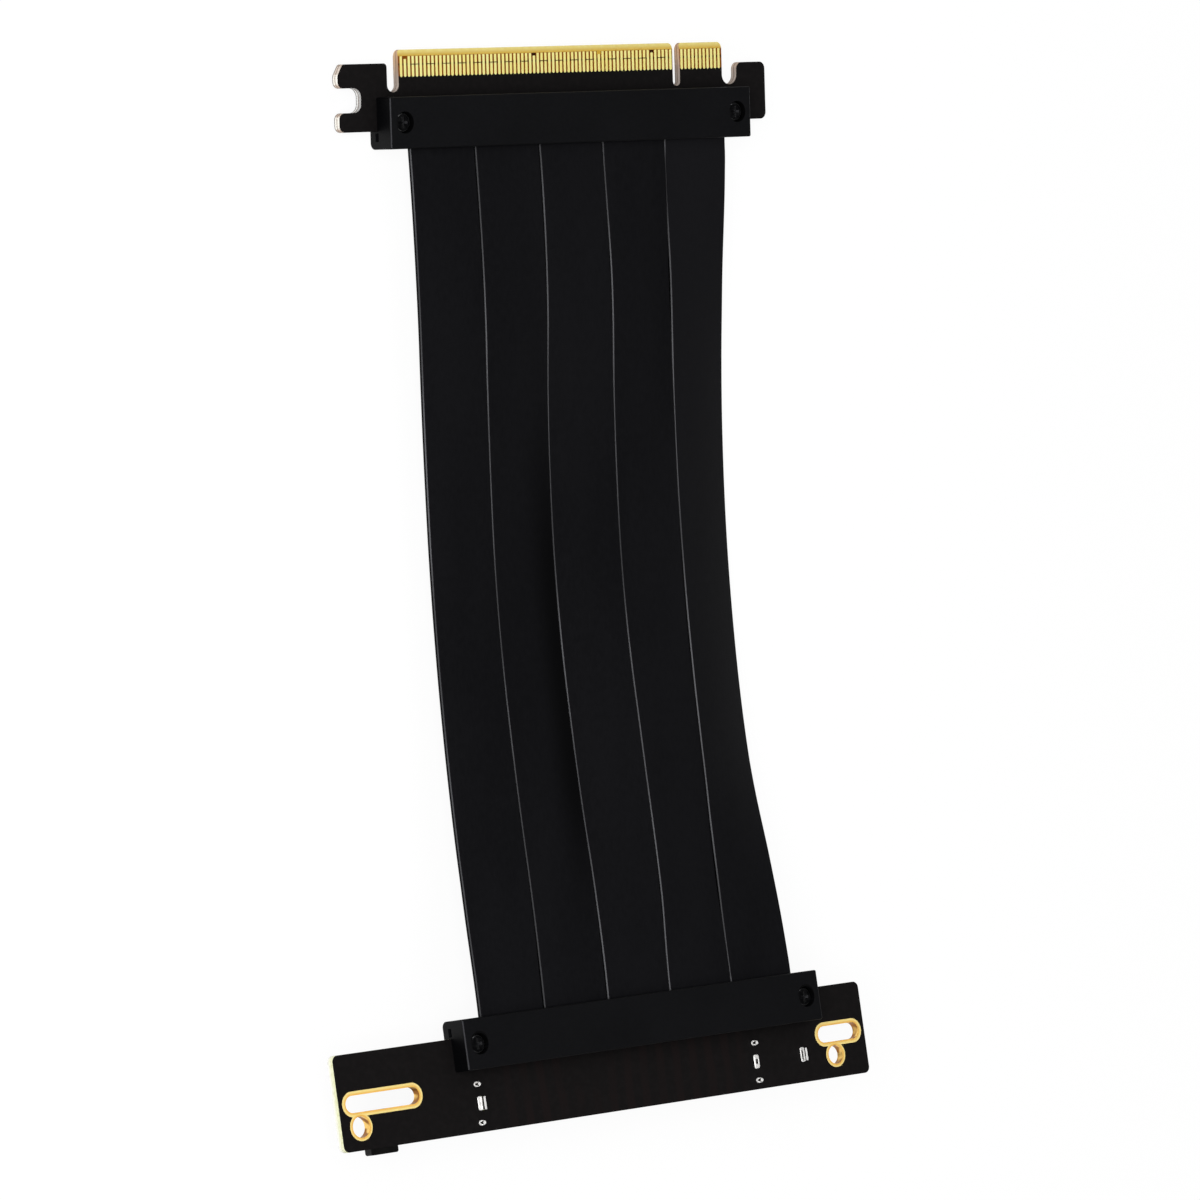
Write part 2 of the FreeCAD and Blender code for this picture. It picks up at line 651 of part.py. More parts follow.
HOUSING_LEFT = f"slot_key_x - key_gap / 2 - {LONG_PINS - 1} * pin_pitch - housing_end"
HOUSING_RIGHT = f"slot_key_x + key_gap / 2 + {SHORT_PINS - 1} * pin_pitch + housing_end"
# First and last place of each end's oblong hole, from the left
OBLONG_REACH = {
    "left": ("-slot_board_width / 2 + left_oblong_margin", f"{HOUSING_LEFT} - left_oblong_clear"),
    "right": (f"{HOUSING_RIGHT} + right_oblong_clear", "slot_board_width / 2 - right_oblong_margin"),
}
OBLONG_MIDDLE = {side: f"({first} + {last}) / 2" for side, (first, last) in OBLONG_REACH.items()}
ROUND_MIDDLE = {"left": "-slot_board_width / 2 + left_round_inset",
                "right": f"{OBLONG_MIDDLE['right']} - right_round_shift"}
BOARD_ENDS = tuple(OBLONG_REACH)
# How far each end's oblong and round hole are grown for the rings, the lining and the bore
RINGS = ("oblong_ring", "round_ring")
LININGS = ("barrel_wall", "barrel_wall")
BORES = ("0", "0")


def mounting_holes(side):
    """The oblong and the round hole near one end of the slot board."""
    first, last = OBLONG_REACH[side]
    oblong_hole = ("oblong", OBLONG_MIDDLE[side], f"-{side}_oblong_y", f"{last} - ({first})",
                   f"{side}_oblong_width")
    round_hole = ("round", ROUND_MIDDLE[side], f"-{side}_round_y", None, f"{side}_round_width")
    return oblong_hole, round_hole


def hole_shape(name, hole, grow, base, height):
    """Oblong or round column over one mounting hole, grown all round."""
    kind, x, y, length, width = hole
    if kind == "oblong":
        return oblong(name, (x, y, base), f"{length} + 2 * ({grow})", f"{width} + 2 * ({grow})", height)
    return rod(name, (x, y, base), f"({width}) / 2 + {grow}", height)


def both_holes(name, side, grown, base, height):
    """Columns over both holes of one end, each grown by its own size."""
    return fuse(name, *[hole_shape(f"{name}_{hole[0]}", hole, grow, base, height)
                        for hole, grow in zip(mounting_holes(side), grown)])


BLADE_PLACES = {
    "left": f"{HOUSING_LEFT} + blade_inset",
    "key": "slot_key_x",
    "right": f"{HOUSING_RIGHT} - right_blade_inset",
}
BLADE_PROUD = {"left": "blade_proud", "key": "key_blade_proud", "right": "blade_proud"}
LEG_ROWS = {"left": f"{HOUSING_LEFT} + leg_inset", "key": "slot_key_x - key_leg_shift"}
LEG_PLACES = {f"{place}_{row}": (x, f"-slot_row {sign} leg_row")
              for place, x in LEG_ROWS.items() for row, sign in (("inner", "+"), ("outer", "-"))}


def leg_column(name, centre, radius, base, height):
    return rod(name, (*centre, base), radius, height)


def blade_column(name, x, grow, base, height):
    corner = (f"{x} - blade_thick / 2 - ({grow})", f"-slot_row - blade_width / 2 - ({grow})", base)
    return block(name, corner,
                 (f"blade_thick + 2 * ({grow})", f"blade_width + 2 * ({grow})", height))


def make_slot_board():
    plate = block("slot_plate", ("-slot_board_width / 2", "-slot_board_depth", "-board_thick"),
                  ("slot_board_width", "slot_board_depth", "board_thick"))
    base = f"-board_thick - {OVER}"
    tall = f"board_thick + 2 * {OVER}"
    tools = [both_holes(f"slot_holes_{side}", side, LININGS, base, tall) for side in BOARD_ENDS]
    tools += [leg_column(f"leg_hole_{name}", centre, "leg_diameter / 2 + leg_clearance", base, tall)
              for name, centre in LEG_PLACES.items()]
    tools += [blade_column(f"blade_hole_{name}", x, "leg_clearance", base, tall)
              for name, x in BLADE_PLACES.items()]
    radius = "screw_diameter / 2 + leg_clearance"
    tools += [rod(f"slot_screw_hole_{side}", (f"slot_cover_x + {x}", "-screw_inset", base), radius, tall)
              for side, x in SCREW_SIDES.items()]
    drilled = cut("slot_drilled", plate, *tools)
    half = S.slot_board_width / 2
    corners = [(x, y) for x in (-half, half) for y in (0, -S.slot_board_depth)]
    rounded = round_edges("slot_board", drilled, S.slot_corner_radius, upright_at(corners))
    keep("slot_board", rounded, slot_frame)


def make_hole_plating(side):
    """Gold lining of one oblong and one round hole, with joined rings on both faces."""
    name = f"slot_hole_plating_{side}"
    front = both_holes(name + "_front", side, RINGS, "0", "plating_thick")
    back = both_holes(name + "_back", side, RINGS, "-board_thick - plating_thick", "plating_thick")
    barrel = both_holes(name + "_barrel", side, LININGS, "-board_thick", "board_thick")
    bore = both_holes(name + "_bore", side, BORES, f"-board_thick - {OVER}", f"board_thick + 2 * {OVER}")
    keep(name, cut(name, fuse(name + "_body", front, back, barrel), bore), slot_frame)


def make_slot_housing():
    """Moulded slot body with a keyed card gap, a pocket for each contact and ears for the latch."""
    left, right = HOUSING_LEFT, HOUSING_RIGHT
    mouth = "-board_thick - housing_height"
    body = block("housing_body", (left, "-slot_row - housing_width / 2", mouth),
                 (f"{right} - ({left})", "housing_width", "housing_height - foot_gap"))
    feet = []
    for name, (x, y) in LEG_PLACES.items():
        feet.append(block(f"housing_foot_{name}", (f"{x} - foot_width / 2", f"{y} - foot_reach",
                                                   "-board_thick - foot_height"),
                          ("foot_width", "2 * foot_reach", "foot_height")))
    ears = []
    for name, y in (("inner", "housing_width / 2 - ear_thick"), ("outer", "-housing_width / 2")):
        ears.append(block(f"housing_ear_{name}", (f"{left} - ear_length", f"-slot_row + {y}",
                                                  "-pivot_down - ear_height / 2"),
                          (f"ear_length + {OVER}", "ear_thick", "ear_height")))
    shell = fuse("housing_shell", body, *feet, *ears)

    card_y = "-slot_row - card_gap / 2"
    card_lengths = ("card_gap", f"card_depth + {OVER}")
    long_left = f"slot_key_x - key_gap / 2 - {LONG_PINS - 1} * pin_pitch - card_end"
    long_right = "slot_key_x - key_width / 2 + leg_clearance"
    short_left = "slot_key_x + key_width / 2 - leg_clearance"
    short_right = f"slot_key_x + key_gap / 2 + {SHORT_PINS - 1} * pin_pitch + card_end"
    gaps = [block("card_gap_long", (long_left, card_y, f"{mouth} - {OVER}"),
                  (f"{long_right} - ({long_left})", *card_lengths)),
            block("card_gap_short", (short_left, card_y, f"{mouth} - {OVER}"),
                  (f"{short_right} - ({short_left})", *card_lengths))]
    ear_hole = cross_rod("ear_hole", (f"{left} - pivot_ahead", "-slot_row - housing_width", "-pivot_down"),
                         "trunnion_diameter / 2 + running_gap", "2 * housing_width")
    gapped = cut("housing_gapped", shell, *gaps, ear_hole)

    pockets = doc.addObject("Part::Feature", "housing_pockets")
    low = -S.board_thick - S.housing_height + S.mouth_web
    solids = []
    for pin in range(1, ALL_PINS + 1):
        middle = pin_x(S.slot_key_x, pin)
        x = (middle - S.pocket_width / 2, middle + S.pocket_width / 2)
        for start, end in ((S.pocket_start, S.pocket_reach), (-S.pocket_reach, -S.pocket_start)):
            solids.append(solid_block(x, (start - S.slot_row, end - S.slot_row), (low, 0)))
    pockets.Shape = Part.makeCompound(solids)
    housing = doc.addObject("Part::Cut", "slot_housing")
    housing.Base = gapped
    housing.Tool = pockets
    keep("slot_housing", housing, slot_frame)


def make_contacts(label, side):
    """One row of spring contacts, soldered flat to the board and bowed towards the card."""
    foot = -S.board_thick - S.contact_thick / 2
    mouth = -S.board_thick - S.housing_height
    leg = S.pocket_reach - S.contact_thick - S.running_gap
    bulge = mouth + S.card_depth / 3
    route = [(S.tail_reach, foot), (leg, foot), (leg, (foot + bulge) / 2), (S.contact_bulge, bulge),
             (S.contact_bulge + S.contact_thick * 2, mouth + S.mouth_web + S.running_gap + S.contact_thick)]
    placed = [(side * y - S.slot_row, z) for y, z in route]
    solids = [strip(placed, S.contact_thick, pin_x(S.slot_key_x, pin), S.contact_width)
              for pin in range(1, ALL_PINS + 1)]
    group(label, solids, slot_frame)


def make_board_legs():
    """Metal legs of the slot, through the board, and the solder around each on the front."""
    legs = [leg_column(f"leg_{name}", centre, "leg_diameter / 2", "-board_thick", "board_thick + leg_proud")
            for name, centre in LEG_PLACES.items()]
    legs += [blade_column(f"blade_{name}", x, "0", "-board_thick - foot_gap",
                          f"board_thick + foot_gap + {BLADE_PROUD[name]}")
             for name, x in BLADE_PLACES.items()]
    joints = []
    leg_radius = "leg_diameter / 2"
    core_height = f"joint_height + 2 * {OVER}"
    for name, centre in LEG_PLACES.items():
        ring = leg_column(f"leg_ring_{name}", centre, f"{leg_radius} + joint_ring", "0", "joint_height")
        core = leg_column(f"leg_core_{name}", centre, leg_radius, f"-{OVER}", core_height)
        joints.append(cut(f"leg_joint_{name}", ring, core))
    for name, x in BLADE_PLACES.items():
        ring = blade_column(f"blade_ring_{name}", x, "joint_ring", "0", "joint_height")
        core = blade_column(f"blade_core_{name}", x, "0", f"-{OVER}", core_height)
        joints.append(cut(f"blade_joint_{name}", ring, core))
    doc.recompute()
    group("slot_board_legs", [item.Shape for item in legs], slot_frame)
    group("slot_leg_joints", [item.Shape for item in joints], slot_frame)


def make_latch():
    """Moulded lever that holds the card: trunnions, a toothed upright and a thumb paddle."""
    x = f"{HOUSING_LEFT} - pivot_ahead"
    half_width = "housing_width / 2 - ear_thick - side_gap"
    hub = cross_rod("latch_hub", (x, f"-slot_row - ({half_width})", "-pivot_down"), "hub_diameter / 2",
                    f"2 * ({half_width})")
    half_pin = "housing_width / 2 - trunnion_end"
    trunnions = cross_rod("latch_trunnions", (x, f"-slot_row - ({half_pin})", "-pivot_down"),
                          "trunnion_diameter / 2", f"2 * ({half_pin})")
    inner = f"-slot_row - ({half_width})"
    upright = block("latch_upright", (f"{x} - upright_back", inner, "-pivot_down - tooth_down"),
                    ("upright_back + upright_front", f"2 * ({half_width})", "tooth_down"))
    tooth = block("latch_tooth", (x, inner, "-pivot_down - tooth_down"),
                  ("tooth_tip", f"2 * ({half_width})", "tooth_thick"))
    low = "-pivot_down - paddle_down"
    paddle_right = f"{x} - paddle_far + paddle_length"
    beam = block("latch_beam", (f"{paddle_right} - {OVER}", "-slot_row - beam_width / 2", low),
                 (f"paddle_far - paddle_length + {OVER}", "beam_width", "paddle_thick"))
    neck = block("latch_neck", (f"{paddle_right} - paddle_neck", f"-paddle_step - {OVER}", low),
                 ("paddle_neck", f"paddle_step - paddle_inner + {OVER}", "paddle_thick"))
    flat = block("latch_flat", (f"{x} - paddle_far", "-paddle_outer", low),
                 ("paddle_length", "paddle_outer - paddle_step", "paddle_thick"))
    far = pin_x(S.slot_key_x, ALL_PINS) - S.housing_end - S.pivot_ahead - S.paddle_far
    near = far + S.paddle_length
    free_corners = [(far, -S.paddle_step), (far, -S.paddle_outer), (near, -S.paddle_outer)]
    paddle = round_edges("latch_paddle", flat, S.paddle_radius, upright_at(free_corners))
    lever = fuse("latch_lever", hub, trunnions, upright, tooth, beam, neck, paddle)
    step = f"paddle_length / {PADDLE_GROOVES + 1}"
    grooves = []
    for i in range(PADDLE_GROOVES):
        groove_x = f"{x} - paddle_far + {i + 1} * {step} - groove_width / 2"
        grooves.append(block(f"latch_groove_{i}", (groove_x, f"-paddle_outer - {OVER}", f"{low} - {OVER}"),
                             ("groove_width", f"paddle_outer - paddle_step - groove_width + {OVER}",
                              f"groove_deep + {OVER}")))
    keep("slot_latch", cut("slot_latch", lever, *grooves), slot_frame)


make_plug_board()
group("plug_fingers_front", finger_solids(FRONT_PAIRS, FRONT_SHORT, 0, S.plating_thick), plug_frame)
group("plug_fingers_back",
      finger_solids(BACK_PAIRS, BACK_SHORT, -S.board_thick - S.plating_thick, -S.board_thick), plug_frame)
for end_name, cover_frame in (("plug", plug_cover_frame), ("slot", slot_cover_frame)):
    make_wiring(end_name, cover_frame)
    make_front_cover(end_name, cover_frame)
    make_back_cover(end_name, cover_frame)
    make_cover_screws(end_name, cover_frame)
for number in range(RIBBON_COUNT):
    make_ribbon(number)
make_slot_board()
for hole_side in BOARD_ENDS:
    make_hole_plating(hole_side)
make_slot_housing()
make_contacts("slot_contacts_inner", 1)
make_contacts("slot_contacts_outer", -1)
make_board_legs()
make_latch()

doc.recompute()
for item in doc.Objects:
    if {"Invalid", "Error"} & set(item.State):
        raise RuntimeError(f"{item.Name} failed: {item.State}")
for label, item in nodes.items():
    if item.Shape.isNull() or not item.Shape.isValid() or not item.Shape.Solids:
        raise RuntimeError(f"{label} has no valid solid")

os.makedirs("parts", exist_ok=True)
for label, item in nodes.items():
    item.Shape.exportStep(f"parts/{label}.step")
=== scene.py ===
import json
import math

import bmesh
import bpy
from mathutils import Matrix, Vector


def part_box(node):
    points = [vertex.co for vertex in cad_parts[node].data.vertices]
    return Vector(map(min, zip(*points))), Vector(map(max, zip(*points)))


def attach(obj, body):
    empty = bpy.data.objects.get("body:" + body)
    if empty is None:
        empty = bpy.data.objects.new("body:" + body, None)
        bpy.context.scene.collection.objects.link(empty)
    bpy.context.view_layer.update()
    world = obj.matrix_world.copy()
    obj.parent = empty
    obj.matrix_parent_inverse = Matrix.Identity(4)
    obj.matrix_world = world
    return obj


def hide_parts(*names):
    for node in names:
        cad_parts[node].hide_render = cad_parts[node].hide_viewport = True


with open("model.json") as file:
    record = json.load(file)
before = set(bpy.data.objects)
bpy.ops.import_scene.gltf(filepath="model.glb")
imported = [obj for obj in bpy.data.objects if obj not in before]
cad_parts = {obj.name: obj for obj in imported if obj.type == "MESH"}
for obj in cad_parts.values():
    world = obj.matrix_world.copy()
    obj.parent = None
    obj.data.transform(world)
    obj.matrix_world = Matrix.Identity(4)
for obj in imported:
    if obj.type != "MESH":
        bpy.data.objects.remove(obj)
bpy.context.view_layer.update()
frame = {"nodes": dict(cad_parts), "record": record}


# Circuit boards
# Two glass-and-resin laminates, sawn to shape and coated with black solder mask on both faces.
# The mask stops at the plug's contact fingers, and all sawn edges are bare and pale.

MM = 0.001


class Paint:
    """A socket of one finish; arithmetic on it adds Math nodes to the finish."""

    def __init__(self, tree, socket=None):
        self.tree = tree
        self.socket = socket

    def node(self, kind, settings=None, sockets=None, output=0):
        """New node of a kind: first its settings, then the values or links of its sockets."""
        made = self.tree.nodes.new("ShaderNode" + kind)
        for name, value in (settings or {}).items():
            setattr(made, name, value)
        for name, value in (sockets or {}).items():
            target = made.inputs[name]
            if isinstance(value, Paint):
                self.tree.links.new(value.socket, target)
            elif target.type == "RGBA" and len(value) == 3:
                target.default_value = (*value, 1.0)
            else:
                target.default_value = value
        return Paint(self.tree, made.outputs[output])

    def math(self, operation, *values):
        return self.node("Math", {"operation": operation}, dict(enumerate(values)))

    def __add__(self, other):
        return self.math("ADD", self, other)

    __radd__ = __add__

    def __sub__(self, other):
        return self.math("SUBTRACT", self, other)

    def __rsub__(self, other):
        return self.math("SUBTRACT", other, self)

    def __mul__(self, other):
        return self.math("MULTIPLY", self, other)

    __rmul__ = __mul__

    def __gt__(self, other):
        return self.math("GREATER_THAN", self, other)

    def __lt__(self, other):
        return self.math("LESS_THAN", self, other)

    def between(self, low, high):
        """0 below low and 1 above high, with a smooth step from one to the other."""
        return self.node("MapRange", {"interpolation_type": "SMOOTHSTEP"},
                         {"Value": self, "From Min": low, "From Max": high})

    def mix(self, first, second):
        """Colour between two, with this value as the share of the second."""
        return self.node("Mix", {"data_type": "RGBA"}, {"Factor": self, 6: first, 7: second}, 2)

    def noise(self, scale, detail=2.0, stretch=None):
        """Grain of this many lumps to a metre, in the object's own space."""
        place = self.node("TexCoord", output=3)
        if stretch:
            place = self.node("VectorMath", {"operation": "MULTIPLY"}, {0: place, 1: stretch})
        return self.node("TexNoise", None, {"Vector": place, "Scale": scale, "Detail": detail})

    def along(self, direction):
        """Distance along a direction from the object's origin, in metres."""
        place = self.node("TexCoord", output=3)
        return self.node("VectorMath", {"operation": "DOT_PRODUCT"}, {0: place, 1: direction}, 1)

    def toward(self, direction):
        """How squarely the surface faces a direction, from 1 down to -1 where it faces away."""
        normal = self.node("TexCoord", output=1)
        return self.node("VectorMath", {"operation": "DOT_PRODUCT"}, {0: normal, 1: direction}, 1)

    def facing(self, direction):
        """How squarely the surface faces a direction, front or back, from 0 to 1."""
        return self.math("ABSOLUTE", self.toward(direction))

    def bump(self, height, strength, distance):
        return self.node("Bump", None, {"Height": height, "Strength": strength, "Distance": distance})


def new_finish(name, **constants):
    """A material, its shader's sockets and a blank to paint with; constants go straight on the shader."""
    finish = bpy.data.materials.new(name)
    finish.use_nodes = True
    shader = finish.node_tree.nodes["Principled BSDF"]
    for socket, value in constants.items():
        shader.inputs[socket.replace("_", " ")].default_value = value
    return finish, shader.inputs, Paint(finish.node_tree)


def feed(paint, inputs, **links):
    for socket, value in links.items():
        paint.tree.links.new(value.socket, inputs[socket.replace("_", " ")])


def dress(finish, *names):
    """Give CAD nodes their finish."""
    for name in names:
        slots = frame["nodes"][name].data.materials
        slots.clear()
        slots.append(finish)


# How rough a sawn edge is, how much smoother the mask is, and its unevenness over the glass cloth
SAWN_ROUGHNESS = 0.70
MASK_SMOOTHER_BY = 0.18
CLOTH_STRENGTH = 0.25
CLOTH_DEEP = 0.02 * MM
# Lumps to a metre in the cloth's layers: along the board, and how many more through it
LAYER_LUMPS = 300.0
LAYERS_THROUGH = 5200.0


def mask_colour(paint):
    """Black solder mask with faint lighter clouds."""
    return paint.noise(900.0, 3.0).between(0.35, 0.8).mix((0.0053, 0.0046, 0.0047), (0.0076, 0.0065, 0.0066))


def cloth(paint):
    """Height of the mask over the weave of the glass cloth."""
    return paint.noise(2600.0, 1.0)


def sawn_colour(paint, normal, pale, deep):
    """Bare laminate at a sawn edge: thin layers of glass cloth that lie along the board."""
    layers = paint.noise(1.0, 2.0, [LAYER_LUMPS + LAYERS_THROUGH * part for part in normal])
    return layers.between(0.3, 0.7).mix(deep, pale)


ACROSS = (1.0, 0.0, 0.0)
PLUG_ALONG = (0.0, 1.0, 0.0)
PLUG_NORMAL = (0.0, 0.0, 1.0)
# How squarely a surface faces the board's normal on its flat faces, and on them or the bevel
FLAT_FACE = 0.97
ANY_FACE = 0.90
PIN_PITCH = 1.0 * MM
SHORT_SIDE_PINS = 11
KEY_STEP = 3.0 * MM
PAD_WIDTH = 0.7 * MM
BREAK_INSET = 1.6 * MM
SHORTER_BY = 0.55 * MM
INNER_ROUND = 0.2 * MM
BARE_BESIDE = 1.5 * MM
# Where the fork's prongs end and its notch begins, and where the fork's edge gives way to the card's
PRONGS_END = (-51.5 * MM, -50.5 * MM)
FORK_END = (-46 * MM, -40 * MM)
plug_low, plug_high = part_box("plug_board")
finger_low, finger_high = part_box("plug_fingers_front")


def pin_place(pin):
    """Place across of a contact finger, counted from the right end of the plug's edge."""
    first = finger_high.x - PAD_WIDTH / 2
    beyond_key = KEY_STEP - PIN_PITCH if pin > SHORT_SIDE_PINS else 0.0
    return first - (pin - 1) * PIN_PITCH - beyond_key


finish, inputs, paint = new_finish("plug_board_mask", Specular_IOR_Level=0.10)
x, y, z = (paint.along(axis) for axis in (ACROSS, PLUG_ALONG, PLUG_NORMAL))
face = paint.facing(PLUG_NORMAL)
# Between the fingers the laminate shows, down to where their inner ends are round.
bare = y > finger_low.y + INNER_ROUND
bare = bare * (x > finger_low.x - BARE_BESIDE) * (x < finger_high.x + BARE_BESIDE)
laminate = paint.noise(1200.0).mix((0.16, 0.044, 0.002), (0.27, 0.080, 0.004))
# It is darkest along the line of the fingers' breaks.
from_break = paint.math("ABSOLUTE", y - (finger_high.y - BREAK_INSET))
laminate = (0.85 - 0.85 * from_break.between(0.1 * MM, 0.3 * MM)).mix(laminate, (0.040, 0.012, 0.001))
# Beyond the tips of short fingers the resin is scorched, and at one of them ground pale with the bevel.
scorched, ground = (0.030, 0.008, 0.002), (0.58, 0.36, 0.042)
past_tips = y > finger_high.y - SHORTER_BY - 0.05 * MM
for pin, tone in ((17, scorched), (31, ground), (48, scorched)):
    beside = paint.math("ABSOLUTE", x - pin_place(pin)) < PIN_PITCH / 2
    laminate = (beside * past_tips).mix(laminate, tone)
flat = bare.mix(mask_colour(paint), laminate)
# The bevel is ground through the mask, paler towards the tip.
bevel = y.between(finger_high.y - 0.1 * MM, plug_high.y).mix((0.58, 0.34, 0.036), (0.80, 0.70, 0.26))
bevel = (0.4 * paint.noise(700.0).between(0.3, 0.7)).mix(bevel, (0.70, 0.51, 0.11))
# Sawn edges are palest at the fork, where the prongs' round corners are darker and the notch is grey.
tip = paint.facing(ACROSS).between(0.80, 0.97)
prong = tip.mix(sawn_colour(paint, PLUG_NORMAL, (0.66, 0.55, 0.46), (0.42, 0.32, 0.26)),
                sawn_colour(paint, PLUG_NORMAL, (0.98, 0.96, 0.90), (0.80, 0.75, 0.67)))
notch = z.between(plug_low.z + 0.5 * MM, plug_low.z + 0.9 * MM).mix(
    (0.78, 0.78, 0.76), sawn_colour(paint, PLUG_NORMAL, (0.54, 0.54, 0.53), (0.39, 0.38, 0.37)))
card = y.between(finger_low.y - BARE_BESIDE, finger_high.y).mix(
    sawn_colour(paint, PLUG_NORMAL, (0.52, 0.45, 0.40), (0.33, 0.28, 0.25)),
    sawn_colour(paint, PLUG_NORMAL, (0.70, 0.48, 0.30), (0.46, 0.28, 0.17)))
past_fork = x.between(*FORK_END)
edge = past_fork.mix(x.between(*PRONGS_END).mix(prong, notch), card)
# A copper layer lies half way through, and the back's mask darkens the far rim.
from_middle = paint.math("ABSOLUTE", z - (plug_low.z + plug_high.z) / 2)
edge = (0.8 - 0.8 * from_middle.between(0.05 * MM, 0.17 * MM)).mix(edge, (0.16, 0.105, 0.08))
far_rim = 1.0 - z.between(plug_low.z + 0.06 * MM, plug_low.z + 0.30 * MM)
edge = (far_rim * (1.0 - 0.8 * past_fork)).mix(edge, (0.075, 0.062, 0.055))
feed(paint, inputs, Base_Color=(face > ANY_FACE).mix(edge, (face > FLAT_FACE).mix(bevel, flat)),
     Roughness=SAWN_ROUGHNESS - MASK_SMOOTHER_BY * (face > FLAT_FACE),
     Normal=paint.bump(cloth(paint), CLOTH_STRENGTH, CLOTH_DEEP))
dress(finish, "plug_board")

# The slot board leans. Its left round hole is a known place on it, half way through the board.
left_round_hole = frame["record"]["mounts"][0]
SLOT_NORMAL = tuple(left_round_hole["axis"])
SLOT_ALONG = (0.0, SLOT_NORMAL[2], -SLOT_NORMAL[1])
TRACE_PITCH = 4.4 * MM
TRACES_FROM = (-31 * MM, -28 * MM)
TRACES_TO = (34 * MM, 37 * MM)
hole_middle = Vector(left_round_hole["pos_m"])
middle_level = hole_middle.dot(Vector(SLOT_NORMAL))
finish, inputs, paint = new_finish("slot_board_mask", Specular_IOR_Level=0.10)
x = paint.along(ACROSS)
face = paint.facing(SLOT_NORMAL)
# Copper pairs run under the mask between the slot and the ribbon ends, and lift it a little.
traces = paint.math("SINE", x * (2 * math.pi / TRACE_PITCH) + paint.noise(90.0) * 3.0).between(-0.2, 0.5)
traces = traces * x.between(*TRACES_FROM) * (1.0 - x.between(*TRACES_TO))
flat = (traces * paint.noise(60.0).between(0.35, 0.65)).mix(mask_colour(paint), (0.0084, 0.0057, 0.0057))
edge = sawn_colour(paint, SLOT_NORMAL, (0.86, 0.87, 0.66), (0.70, 0.71, 0.40))
# The back half of its sawn edge is almost white.
edge = (paint.along(SLOT_NORMAL) - middle_level).between(-0.6 * MM, 0.3 * MM).mix((0.89, 0.89, 0.80), edge)
feed(paint, inputs, Base_Color=(face > ANY_FACE).mix(edge, flat),
     Roughness=SAWN_ROUGHNESS - MASK_SMOOTHER_BY * (face > ANY_FACE),
     Normal=paint.bump(cloth(paint) * 0.5 + traces, CLOTH_STRENGTH, CLOTH_DEEP))
dress(finish, "slot_board")


# Contact fingers
# Copper strips on both faces of the plug's edge, plated with nickel and hard gold. Signal pairs
# have a break near the tip, left by the plating bars, and the inner ends are round.

ALL_PINS = 82
FINGER_WIDTH = 0.56 * MM
FINGER_THICK = 0.05 * MM
FINGER_SOFT = 0.03 * MM
BREAK_WIDTH = 0.16 * MM
END_STEPS = 8


def add_plate(mesh, outline, base, up):
    """Closed plate over an outline of (x, y) points, with a softened upper edge."""
    rings = []
    middle = Vector((sum(x for x, y in outline), sum(y for x, y in outline))) / len(outline)
    for inset, height in ((0.0, 0.0), (0.0, FINGER_THICK - FINGER_SOFT / 2), (FINGER_SOFT, FINGER_THICK)):
        ring = []
        for x, y in outline:
            inward = middle - Vector((x, y))
            share = min(inset / max(inward.length, inset), 1.0)
            ring.append(mesh.verts.new((x + inward.x * share, y + inward.y * share, base + up * height)))
        rings.append(ring if up > 0 else ring[::-1])
    for lower, upper in zip(rings, rings[1:]):
        for i in range(len(lower)):
            j = (i + 1) % len(lower)
            mesh.faces.new((lower[i], lower[j], upper[j], upper[i]))
    mesh.faces.new(rings[-1])
    mesh.faces.new(rings[0][::-1])


def finger_outline(x, outer, inner, inner_round):
    """Counter-clockwise outline of one finger, outer end square."""
    half = FINGER_WIDTH / 2
    if not inner_round:
        return [(x - half, inner), (x + half, inner), (x + half, outer), (x - half, outer)]
    angles = [math.pi + math.pi * i / END_STEPS for i in range(END_STEPS + 1)]
    arc = [(x + half * math.cos(angle), inner + half + half * math.sin(angle)) for angle in angles]
    return arc + [(x + half, outer), (x - half, outer)]


def piece_from(mesh, name, smooth=True):
    """Object of a finished mesh, linked into the scene."""
    data = bpy.data.meshes.new(name)
    bmesh.ops.recalc_face_normals(mesh, faces=mesh.faces)
    mesh.to_mesh(data)
    mesh.free()
    data.polygons.foreach_set("use_smooth", [smooth] * len(data.polygons))
    piece = bpy.data.objects.new(name, data)
    bpy.context.scene.collection.objects.link(piece)
    return piece


finger_gold, inputs, paint = new_finish("finger_gold", Metallic=0.12, Specular_IOR_Level=0.4)
wiped = paint.noise(700.0, 3.0, (1.0, 0.18, 1.0))
feed(paint, inputs, Base_Color=wiped.between(0.3, 0.75).mix((1.0, 0.89, 0.27), (1.0, 0.97, 0.38)),
     Roughness=0.30 + 0.16 * wiped,
     Normal=paint.bump(paint.noise(5200.0, 2.0), 0.12, 0.01 * MM))

